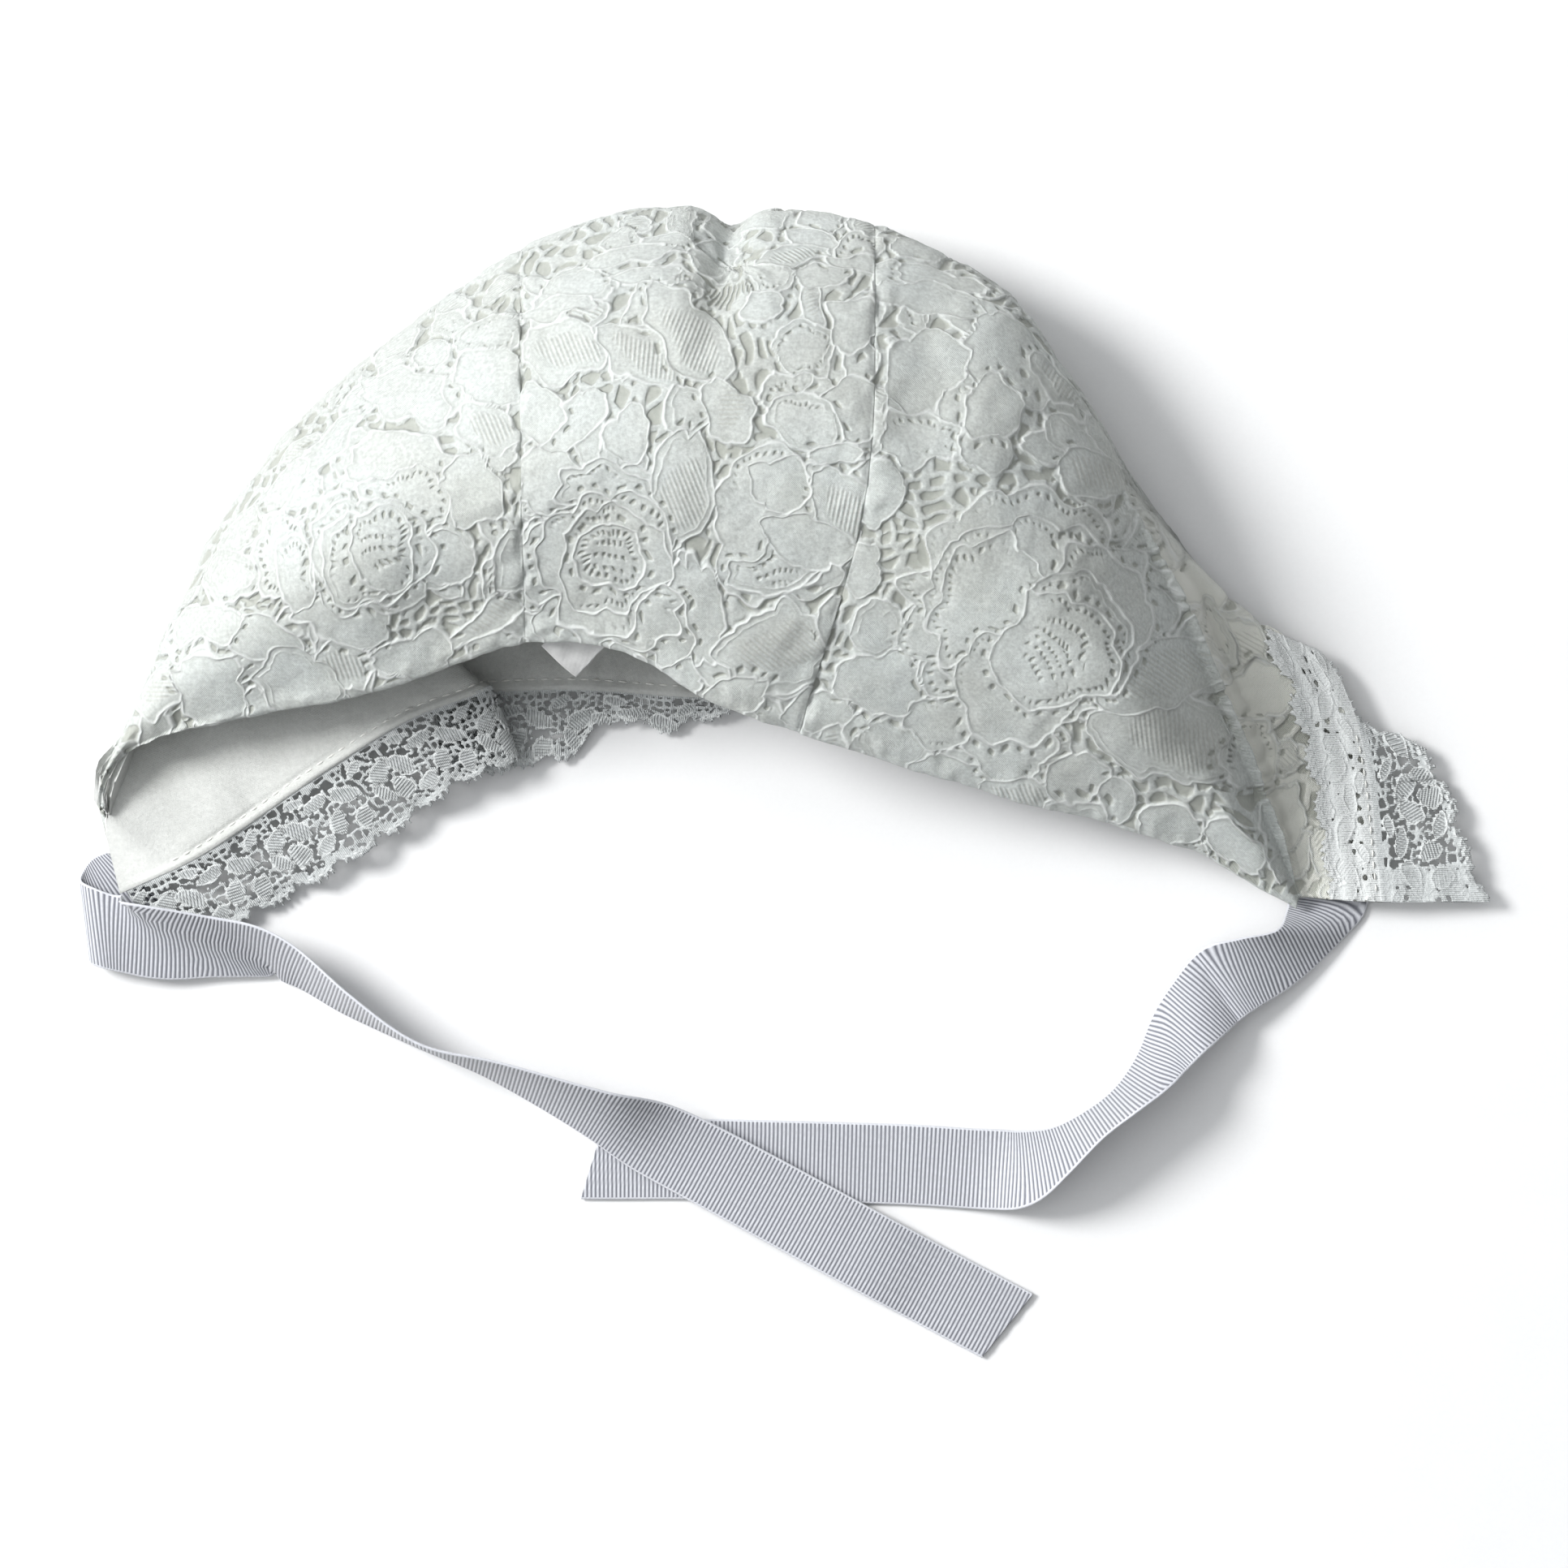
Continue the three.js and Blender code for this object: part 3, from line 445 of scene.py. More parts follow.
class LaceRelief:
    """What the lace is like at places of its pattern: how high it stands, how open it is, how
    far the nearest cord is, and the phase and strength of its hatching."""

    def __init__(self, x, y):
        self.true_x = x
        self.true_y = y
        x, y = wavy(x, y)
        self.x = x
        self.y = y
        self.fill = 0.05 * ripple(x, y, 60, 2)
        self.cord_away = np.full_like(x, CORD_REACH)
        self.open = np.zeros_like(x)
        self.hatch = np.zeros_like(x)
        self.phase = np.zeros_like(x)
        u, v = turned(x, y, GROUND_AIM)
        everywhere = np.ones_like(x)
        self.net(everywhere, u / GROUND_MESH[0], v / GROUND_MESH[1], 11)

    def net(self, inside, u, v, seed):
        gap = net_gap(u, v, seed)
        hole = np.clip((gap - 0.09) / 0.14, 0, 1)
        self.open = self.open * (1 - inside) + hole * inside

    def net_patch(self, row, number):
        x, y, long, wide, aim, mesh_long, mesh_wide = row
        u, v = turned(self.x - x, self.y - y, aim)
        size = np.hypot(u / long, v / wide) + 0.12 * ripple(self.x, self.y, 34, number)
        inside = np.clip((1.05 - size) * 6, 0, 1)
        self.net(inside, u / mesh_long / NET_EASE, v / mesh_wide / NET_EASE, number)

    def notch_net(self):
        x, y = self.x - NOTCH[0], self.y - NOTCH[1]
        away = np.hypot(x, y)
        angle = np.arctan2(x, y)
        inside = np.clip((away - NOTCH_NET_FROM) / 15, 0, 1)
        inside = inside * np.clip((NOTCH_NET_TO - away) / 20, 0, 1)
        inside = inside * np.clip((0.62 - np.abs(angle + 0.12)) * 9, 0, 1)
        self.net(inside, away / 40, angle * 8, 5)

    def petal(self, row, number):
        x, y, long, wide, aim, scallops, filling = row
        reach = max(long, wide) * 1.25 + 14
        near = np.flatnonzero((abs(self.x - x) < reach) & (abs(self.y - y) < reach))
        if not len(near):
            return
        u, v = turned(self.x[near] - x, self.y[near] - y, aim)
        away, angle = petal_edge(u, v, long, wide, scallops, number)
        inside = np.clip(-away / 1.5 + 0.5, 0, 1)
        fill = 0.08 + 0.2 * np.clip(-away / 16, 0, 1) ** 0.6
        fill += 0.06 * ripple(u, v, 26, number % 7)
        hole = np.zeros_like(u)
        strength = np.zeros_like(u)
        true_u, true_v = turned(self.true_x[near], self.true_y[near], aim)
        phase = (true_u * 0.85 + true_v * 0.5) * 2 * np.pi / HATCH_PITCH
        if filling in ("pores", "heart"):
            beats = np.round(2 * np.pi * (long + wide) / 2 / PORE_PITCH)
            beat = np.cos(angle * beats + 0.5 * np.sin(3 * angle))
            row_of_holes = np.clip(1.6 - abs(away + PORE_INSET) / 2.6, 0, 1)
            fade = np.clip(0.5 + 1.7 * ripple(u, v, 1.6 * (long + wide), number % 5), 0, 1)
            hole = np.clip(beat * 1.8 - 0.1, 0, 1) * row_of_holes * fade
        if filling == "heart":
            hole = np.maximum(hole, heart_slits(u, v, long, wide))
        if filling == "hatch":
            strength = np.clip((0.8 - np.hypot(u / long - 0.12, v / wide / 0.75)) * 6, 0, 1)
        fringe = np.clip(1.4 - abs(away - 8) / 3, 0, 1) * (number % 2)
        bite = np.clip(np.cos(angle * np.round((long + wide) / 5)) * 2 - 0.2, 0, 1) * fringe
        keep = 1 - inside
        self.open[near] = np.maximum(self.open[near] * keep, bite * keep) + hole * inside
        self.fill[near] = self.fill[near] * keep + fill * inside
        self.hatch[near] = self.hatch[near] * keep + strength * inside
        self.phase[near] = np.where(away < 0, phase, self.phase[near])
        inner = np.abs(away + 8) + 1.0 + 9 * (number % 5 != 1)
        own = np.minimum(np.abs(away), inner)
        others = np.where(away < 0, CORD_REACH, self.cord_away[near])
        self.cord_away[near] = np.minimum(own, others)

    def heights(self):
        cord = np.exp(-(self.cord_away / 2.2) ** 2)
        self.open = np.clip(self.open, 0, 1) * (1 - np.clip(cord * 1.3, 0, 1))
        return self.fill + 0.14 * cord - 0.42 * self.open


def heart_slits(u, v, long, wide):
    """Bent rows of slits in the heart of a rose."""
    bent = v + 0.012 * u ** 2
    rows = np.clip(np.cos(bent * 2 * np.pi / 17) * 2.2 - 0.5, 0, 1)
    slits = np.clip(np.cos((u + 0.25 * v) * 2 * np.pi / 8.5) * 2 - 0.1, 0, 1)
    middle = np.clip((0.66 - np.hypot(u / long, v / wide)) * 7, 0, 1)
    return rows * slits * middle


def wavy(x, y):
    """The pattern's places, shifted a little so that no outline is drawn too true."""
    aside = 7 * ripple(x, y, 74, 9) + 0.9 * ripple(x, y, 21, 4)
    down = 7 * ripple(x, y, 66, 6) + 0.9 * ripple(x, y, 18, 8)
    return x + aside, y + down


def lace_relief(x, y, petals):
    relief = LaceRelief(x, y)
    for number, row in enumerate(NETS):
        relief.net_patch(row, number)
    relief.notch_net()
    for number, row in enumerate(filler_petals() + petals):
        relief.petal(row, number)
    return relief


def filler_petals():
    """Small leaves that lie under the named ones, so that less of the ground is left bare."""
    rows = []
    for i in range(-3, 30):
        for j in range(-6, 20):
            x = 130 + 58 * i + 24 * float(scatter(i, j, 1))
            y = 200 + 56 * j + 24 * float(scatter(i, j, 2))
            if in_a_net(x, y) or scatter(i, j, 9) < 0.25:
                continue
            long = 27 + 12 * float(scatter(i, j, 4))
            wide = 16 + 9 * float(scatter(i, j, 6))
            aim = 180 * float(scatter(i, j, 7))
            filling = ("plain", "hatch", "plain", "pores", "plain")[(i + 2 * j) % 5]
            rows.append((x, y, long, wide, aim, 4 + (i + j) % 3, filling))
    return rows


def in_a_net(x, y):
    for net_x, net_y, long, wide, aim, _, _ in NETS:
        u, v = turned(x - net_x, y - net_y, aim)
        if math.hypot(u / long, v / wide) < 1.1:
            return True
    away = math.hypot(x - NOTCH[0], y - NOTCH[1])
    return away < NOTCH_NET_TO and abs(math.atan2(x - NOTCH[0], y - NOTCH[1]) + 0.12) < 0.6


def mesh_object(name, points, faces, material, uv=None, marks=None):
    """A mesh from points in millimetres. marks are named values, one for each point."""
    mesh = bpy.data.meshes.new(name)
    mesh.vertices.add(len(points))
    mesh.vertices.foreach_set("co", ((points + BONNET_PLACE) * MM).astype(np.float32).ravel())
    sizes = np.concatenate([np.full(len(f), f.shape[1]) for f in faces])
    corners = np.concatenate([f.ravel() for f in faces]).astype(np.int32)
    starts = np.concatenate([[0], np.cumsum(sizes)[:-1]]).astype(np.int32)
    mesh.loops.add(len(corners))
    mesh.loops.foreach_set("vertex_index", corners)
    mesh.polygons.add(len(sizes))
    mesh.polygons.foreach_set("loop_start", starts)
    mesh.polygons.foreach_set("loop_total", sizes.astype(np.int32))
    mesh.polygons.foreach_set("use_smooth", np.full(len(sizes), True))
    if uv is not None:
        layer = mesh.uv_layers.new(name="cloth")
        layer.data.foreach_set("uv", uv[corners].astype(np.float32).ravel())
    for mark, values in (marks or {}).items():
        attribute = mesh.attributes.new(mark, "FLOAT", "POINT")
        attribute.data.foreach_set("value", values.astype(np.float32))
    mesh.update(calc_edges=True)
    mesh.validate()
    piece = bpy.data.objects.new(name, mesh)
    bpy.context.scene.collection.objects.link(piece)
    mesh.materials.append(material)
    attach(piece, "root")
    return piece


def cell_corners(ids):
    """The four corners of each cell of a grid, in order round the cell."""
    return np.stack([ids[:-1, :-1], ids[1:, :-1], ids[1:, 1:], ids[:-1, 1:]], axis=-1)


def quads(ids):
    return cell_corners(ids).reshape(-1, 4)


def closed_sheet(face, back, skip):
    """Points and faces of a sheet with a fine face and a back that keeps every skip-th point."""
    n, m = face.shape[:2]
    fine = np.arange(n * m).reshape(n, m)
    back = back[::skip, ::skip]
    coarse = n * m + np.arange(back.shape[0] * back.shape[1]).reshape(back.shape[:2])
    rims = []
    for line, under in (
        (fine[:, 0], coarse[:, 0]), (fine[-1], coarse[-1]),
        (fine[::-1, -1], coarse[::-1, -1]), (fine[0, ::-1], coarse[0, ::-1]),
    ):
        for k in range(len(under) - 1):
            stretch = line[k * skip:(k + 1) * skip + 1]
            rims.append(np.concatenate([stretch[::-1], [under[k], under[k + 1]]]))
    points = np.concatenate([face.reshape(-1, 3), back.reshape(-1, 3)])
    return points, [quads(fine), quads(coarse)[:, ::-1], np.array(rims)]


def both_sides(values, skip):
    """A value for each point of a sheet: its face's, then its back's."""
    return np.concatenate([values.ravel(), values[::skip, ::skip].ravel()])


# How the lace rolls over at the neck edge
ROLL_CELLS = 8
ROLL_RADIUS = 1.35
ROLL_TURN = math.radians(200)
ROLL_INSET = 0.035
ROLL_BACK = 0.55
# The lace's back: how deep it hangs, the wall's least and its least room over the lining
BACK_DEPTH = 0.2
LACE_LEAST = LACE_THICKNESS * 0.95
LINING_CLEAR = 0.04
# The back keeps every eighth point of the face
SKIP = 8


def rolled_edge(at, points, normals, depth):
    """Rows of points that carry the cloth round the neck edge and under, outermost first."""
    away = unit(points[:, 0] - points[:, 1])
    radius = ROLL_RADIUS * (1 + 0.12 * ripple(at * 230, at * 90, 9, 3))
    radius *= np.clip(np.minimum(at, 1 - at) * 30, 0.35, 1)
    middle = points[:, 0] - normals[:, 0] * radius[:, None]
    rows = []
    for k in range(ROLL_CELLS):
        turn = ROLL_TURN * (1 - k / ROLL_CELLS)
        arm = np.cos(turn) * normals[:, 0] + np.sin(turn) * away
        rows.append(middle + arm * (radius - depth)[:, None])
    return np.stack(rows, axis=1)


def lace_panel(name, start, end, columns, parts, petals, seams):
    """One panel of corded lace, raised over its petals and cords and let down in its gaps."""
    at = even_stops(start, end, columns, 1.5)
    across = across_stops(parts)
    points = hat_surface(at, across)
    normals = outward(at, across)
    places = cloth_places(points, across, at)
    x, y = places[:, :, 0].ravel(), places[:, :, 1].ravel()
    relief = lace_relief(x, y, petals)
    height = relief.heights().reshape(points.shape[:2])
    height = height * np.clip((across - ROLL_INSET) * 14, 0.1, 1)
    height = height + lace_swell(at, across, places, seams)
    ends = np.minimum(at * 15, (1 - at) * 40)[:, None]
    height = height * np.clip(ends, 0.1, 1)
    face = points + normals * height[:, :, None]
    room = LINING_TOP - LINING_CLEAR + crease_dip(at, across)
    under = np.clip(BACK_DEPTH - height, LACE_LEAST, room)
    back = points - normals * under[:, :, None]
    roll_face = rolled_edge(at, face, normals, np.zeros(len(at)))
    roll_back = rolled_edge(at, points, normals, np.full(len(at), ROLL_BACK))
    face = np.concatenate([roll_face, face], axis=1)
    back = np.concatenate([roll_back, back], axis=1)
    points, faces = closed_sheet(face, back, SKIP)
    flat = np.pad(places, ((0, 0), (ROLL_CELLS, 0), (0, 0)), mode="edge")
    flat[:, :ROLL_CELLS, 1] += np.arange(ROLL_CELLS, 0, -1) * 4
    uv = np.stack([both_sides(flat[:, :, k], SKIP) / PIXELS_PER_MM for k in (0, 1)], axis=1)
    marks = {}
    for mark, values in (
        ("hollow", relief.open), ("cord_away", relief.cord_away / PIXELS_PER_MM),
        ("hatch", relief.hatch), ("hatch_phase", relief.phase),
    ):
        grid = values.reshape(len(at), len(across))
        grid = np.pad(grid, ((0, 0), (ROLL_CELLS, 0)), mode="edge")
        if mark == "hollow":
            grid[:, :ROLL_CELLS + 3] = 0
        marks[mark] = both_sides(grid, SKIP)
    # Beside the right ear's crease the lace takes a light ivory tint: partly the cloth's own warmer
    # tone, partly painted light that brightens the shaded side past the ridge
    ivory_and_painted_light = eased(at, 0.78, 0.87)[:, None] * eased(across, 1.98, 2.12)
    ivory_and_painted_light = np.pad(ivory_and_painted_light, ((0, 0), (ROLL_CELLS, 0)))
    marks["ivory_and_painted_light"] = both_sides(ivory_and_painted_light, SKIP)
    piece = mesh_object(name, points, faces, LACE, uv=uv, marks=marks)
    return piece


# The right ear's crease and the ridge beside it: where they lie across the hat, how deep and
# how high they are, and how far the lining dips there
CREASE_ACROSS = 2.1
CREASE_DEPTH = 2.2
RIDGE_ACROSS = 1.985
RIDGE_HEIGHT = 1.7
LINING_DIP = 2.0
# The seams: the scale of their width, how high their puckers and how deep their grooves are
SEAM_SCALE = 215
SEAM_PUCKER = 0.3
SEAM_GROOVE = 0.35


def near_crease(at, across, middle, half):
    """1 along the right ear's crease, where the cloth turns over, and 0 away from it."""
    along_it = eased(at, 0.79, 0.85) * (1 - eased(at, 0.985, 1.0))
    return along_it[:, None] * np.exp(-((across - middle) / half) ** 2)


def crease_dip(at, across):
    """How much lower the lining lies beside the right ear's crease."""
    return LINING_DIP * near_crease(at, across, CREASE_ACROSS, 0.085)


def lace_swell(at, across, places, seams):
    """The cloth's own soft swells: beside the seams, by the notch and along the neck edge."""
    x, y = places[:, :, 0], places[:, :, 1]
    swell = 0.35 * ripple(x, y, 130, 4) + 0.14 * ripple(x, y, 44, 1)
    for seam in seams:
        aside = (at[:, None] - seam) * SEAM_SCALE
        pucker = np.sin(across[None, :] * 26 + 2 * ripple(x, y, 60, 6)) * np.sign(aside)
        swell += SEAM_PUCKER * np.exp(-(aside / 4.5) ** 2) * pucker
        swell -= SEAM_GROOVE * np.exp(-(aside / 0.8) ** 2)
    away = np.hypot(x - NOTCH[0], y - NOTCH[1])
    angle = np.arctan2(x - NOTCH[0], y - NOTCH[1])
    swell += 0.4 * np.exp(-(away / 60) ** 2) * np.cos(11 * angle + away / 14)
    swell += RIDGE_HEIGHT * near_crease(at, across, RIDGE_ACROSS, 0.032)
    swell -= CREASE_DEPTH * near_crease(at, across, CREASE_ACROSS, 0.07)
    gathers = np.exp(-((at[:, None] - 0.95) / 0.035) ** 2 - ((across - 2.3) / 0.25) ** 2)
    swell += 0.4 * gathers * np.sin(y / 4.6 + x / 16 + 1.6 * ripple(x, y, 60, 2))
    edge = across[None, :] / 0.12
    swell += 0.5 * np.exp(-(edge - 0.6) ** 2 * 2.2) * (1 + 0.5 * ripple(x, y, 30, 3))
    return swell


# How deep the lining's two faces lie at the neck edge, and the least wall between them
NECK_TOP = 1.15
NECK_BOTTOM = 1.75
LINING_LEAST = 0.25
LINING_COLUMNS = 210
# The hem: how far from the face edge it is sewn, from where to where along the hat, and the
# pitch of its stitches and of its puckers
HEM_DEPTH = 2.2
HEM_SEWN = (0.012, 0.99)
HEM_PITCH = 2.7
HEM_PUCKER_PITCH = 4.4


def lining():
    """The plain lining inside the lace, with its hem at the face edge."""
    at = even_stops(0.0, 1.0, LINING_COLUMNS, 2.6)
    across = across_stops([(0.04, 2, 30), (2, 3, 26), (3, 3.85, 32), (3.85, 4, 12)])
    points = hat_surface(at, across)
    normals = outward(at, across)
    line = travel_of(points[:, -1])[:, None]
    edge_away = np.linalg.norm(points - points[:, -1:], axis=2)
    x, y = points[:, :, 0], points[:, :, 1]
    wrinkle = 1.0 * ripple(x, y, 34, 2) + 0.35 * ripple(x + y, (y - x) * 0.35, 16, 5)
    wrinkle *= np.clip(edge_away / 6, 0.2, 1)
    hem = 0.6 * np.exp(-((edge_away - 0.9) / 0.8) ** 2)
    hem -= 0.55 * np.exp(-((edge_away - HEM_DEPTH) / 0.6) ** 2)
    pucker = np.sin(line * 2 * np.pi / HEM_PUCKER_PITCH + ripple(x, y, 30, 1) * 3)
    pucker = pucker * (0.6 + 0.8 * ripple(x, y, 17, 6))
    hem += 0.85 * pucker * np.exp(-((edge_away - 3.6) / 2.6) ** 2)
    hem += 0.16 * np.sin(line * 2 * np.pi / 1.9) * np.exp(-((edge_away - 0.8) / 0.8) ** 2)
    near_neck = np.clip(across[None, :] / 0.16, 0, 1)
    dip = crease_dip(at, across)
    top = NECK_TOP + (LINING_TOP - NECK_TOP) * near_neck + dip
    bottom = NECK_BOTTOM + (LINING_BOTTOM - NECK_BOTTOM) * near_neck + dip
    ends = np.clip(np.minimum(at, 1 - at)[:, None] * 30, 0.1, 1)
    face = points - normals * top[:, :, None]
    depth = np.maximum(bottom + (wrinkle + hem) * ends, top + LINING_LEAST)
    inner = points - normals * depth[:, :, None]
    points, faces = closed_sheet(face[:, ::-1], inner[:, ::-1], 1)
    uv = np.stack([both_sides(x[:, ::-1], 1), both_sides(edge_away[:, ::-1], 1)], axis=1)
    piece = mesh_object("bonnet_lining", points, [f[:, ::-1] for f in faces], LINING, uv=uv)
    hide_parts("lining")
    sewn, sewn_facing = [], []
    for row in range(len(at)):
        if HEM_SEWN[0] < at[row] < HEM_SEWN[1]:
            away = edge_away[row, ::-1]
            sewn.append(read_points(HEM_DEPTH, away, inner[row, ::-1]))
            sewn_facing.append(read_points(HEM_DEPTH, away, -normals[row, ::-1]))
    thread = stitch_row("bonnet_stitch_hem", np.array(sewn), np.array(sewn_facing), HEM_PITCH)
    return piece, thread


RIB_CELLS = 4
RIB_HEIGHT = 0.11
RULING_STEPS = 40
# Places across a ribbon, from one selvedge to the other
RIBBON_SIDES = np.array([
    -1, -0.965, -0.93, -0.75, -0.5, -0.25, 0, 0.25, 0.5, 0.75, 0.93, 0.965, 1,
])


def tie_strip(name, table, corner, loop_rows):
    """A grosgrain tie whose ribs run square across the ribbon; in its loop, which takes up the
    first rulings, they follow the rulings."""
    count = len(table)
    table = np.column_stack([np.arange(count), table])
    fine = np.linspace(0, count - 1, (count - 1) * RULING_STEPS + 1)
    x, y, lift, aim, slope, spread = (column(table, k, fine) for k in range(1, 7))
    aim, slope = np.radians(aim), np.radians(slope)
    half = TIE_WIDTH * spread / 2
    middle = np.stack([
        corner[0] + x * TIE_LENGTH,
        corner[1] + y * TIE_LENGTH,
        lift * TIE_WIDTH + half * np.abs(np.sin(slope)),
    ], axis=1)
    arm = np.stack([
        np.cos(aim) * np.cos(slope), np.sin(aim) * np.cos(slope), np.sin(slope),
    ], axis=1)
    travel = travel_of(middle)
    tangent = unit(np.gradient(middle, axis=0))
    lean = np.sum(arm * tangent, axis=1) * half * eased(fine, loop_rows - 1.5, loop_rows)
    facing = unit(np.cross(tangent, arm))
    sides = RIBBON_SIDES
    along = travel[:, None] + lean[:, None] * sides[None, :]
    along = np.maximum.accumulate(along, axis=0) + np.arange(len(fine))[:, None] * 1e-6
    cells = int(travel[-1] / RIB_PITCH * RIB_CELLS)
    grid, facings, ribs_at = [], [], []
    for k, side in enumerate(sides):
        wanted = np.linspace(along[0, k], along[-1, k], cells + 1)
        here = np.interp(wanted, along[:, k], fine)
        reach = (side * np.interp(here, fine, half))[:, None]
        grid.append(
            read_points(here, fine, middle) + read_points(here, fine, unit(arm)) * reach)
        facings.append(unit(read_points(here, fine, facing)))
        ribs_at.append(wanted)
    grid, facings = np.stack(grid, axis=1), np.stack(facings, axis=1)
    ribs_at = np.stack(ribs_at, axis=1)
    plain = np.clip((0.97 - np.abs(sides)) * 25, 0, 1)[None, :]
    rib = RIB_HEIGHT * np.cos(2 * np.pi * ribs_at / RIB_PITCH) * plain
    thick = (TIE_THICKNESS / 2 - 0.08 + rib) * np.where(np.abs(sides) == 1, 0.45, 1)[None, :]
    face = grid + facings * thick[:, :, None]
    back = grid - facings * thick[:, :, None]
    points, faces = closed_sheet(face, back, 1)
    across_mm = np.broadcast_to(sides[None, :] * TIE_WIDTH / 2, ribs_at.shape)
    uv = np.stack([both_sides(ribs_at, 1), both_sides(across_mm, 1)], axis=1)
    piece = mesh_object(name, points, faces, RIBBON, uv=uv)
    return piece, float(travel[-1])


# How far a point of the mesh may move to a hole's edge, as a share of its cell
CELL_SHIFT = 0.42


def facing_up(points):
    """The direction out of a sheet at each of its points, on the side that looks up."""
    facing = unit(np.cross(np.gradient(points, axis=0), np.gradient(points, axis=1)))
    return facing * np.where(facing[..., 2:] < 0, -1, 1)


def pierced_sheet(name, place, fields, counts, cell):
    """A sheet cut through wherever its pattern is below zero, its holes' edges drawn smooth."""
    ns, nt = counts
    s, t = np.meshgrid(np.arange(ns + 1) * cell[0], np.arange(nt + 1) * cell[1], indexing="ij")
    value = fields(s, t)[0]
    middle = (value[:-1, :-1] + value[1:, :-1] + value[1:, 1:] + value[:-1, 1:]) / 4
    kept = middle > 0
    used = np.zeros((ns + 3, nt + 3), bool)
    used[1:-1, 1:-1][:ns, :nt] = kept
    corner_counts = sum(
        used[a:a + ns + 1, b:b + nt + 1].astype(int) for a in (0, 1) for b in (0, 1)
    )
    edge = (corner_counts > 0) & (corner_counts < 4)
    slope_s, slope_t = np.gradient(value, cell[0], cell[1])
    steep = slope_s ** 2 + slope_t ** 2 + 0.05
    shift = np.where(edge, -value / steep, 0)
    move_s = np.clip(shift * slope_s, -CELL_SHIFT * cell[0], CELL_SHIFT * cell[0])
    move_t = np.clip(shift * slope_t, -CELL_SHIFT * cell[1], CELL_SHIFT * cell[1])
    move_s[[0, -1]] = 0
    move_t[:, [0, -1]] = 0
    s, t = s + move_s, t + move_t
    points, facing = place(s, t)
    _, rise, marks = fields(s, t)
    up = points + facing * (TRIM_THICKNESS / 2 + rise)[:, :, None]
    down = points - facing * (TRIM_THICKNESS / 2) * np.ones_like(rise)[:, :, None]
    ids = np.arange((ns + 1) * (nt + 1)).reshape(ns + 1, nt + 1)
    count = ids.size
    cells = cell_corners(ids)
    top = cells[kept]
    bottom = top[:, ::-1] + count
    padded = np.pad(kept, 1)
    walls = []
    for (di, dj), (a, b) in {
        (0, -1): (0, 1), (1, 0): (1, 2), (0, 1): (2, 3), (-1, 0): (3, 0),
    }.items():
        neighbour = padded[1 + di:ns + 1 + di, 1 + dj:nt + 1 + dj]
        rim = cells[kept & ~neighbour]
        walls.append(np.stack([rim[:, b], rim[:, a], rim[:, a] + count, rim[:, b] + count], axis=1))
    faces = np.concatenate([top, bottom, *walls])
    wanted, compact = np.unique(faces, return_inverse=True)
    faces = compact.reshape(faces.shape)
    all_points = np.concatenate([up.reshape(-1, 3), down.reshape(-1, 3)])[wanted]
    uv = np.concatenate([np.stack([s.ravel(), t.ravel()], axis=1)] * 2)[wanted]
    marks = {mark: np.tile(grid.ravel(), 2)[wanted] for mark, grid in marks.items()}
    piece = mesh_object(name, all_points, [faces], TRIM, uv=uv, marks=marks)
    return piece


# The edging's flower, repeated along it: place along, place out, half length, half width, aim
TRIM_PETALS = [
    (5.2, 6.4, 3.6, 2.3, 35), (9.9, 7.2, 3.5, 2.3, -40), (7.6, 11.3, 3.1, 2.5, 90),
    (3.6, 10.4, 2.9, 1.8, 120), (15.6, 4.6, 3.5, 1.6, 10), (17.6, 10.4, 3.1, 2.0, 60),
    (13.0, 12.6, 2.8, 1.7, 15), (21.8, 6.2, 3.4, 2.1, -20), (22.6, 12.2, 2.9, 2.2, 70),
    (12.2, 2.4, 2.6, 1.2, -15), (1.2, 3.0, 2.4, 1.3, 30),
]
TRIM_REPEAT = 25.0
TRIM_RIB = 0.62
CORD_FAR = 1.5


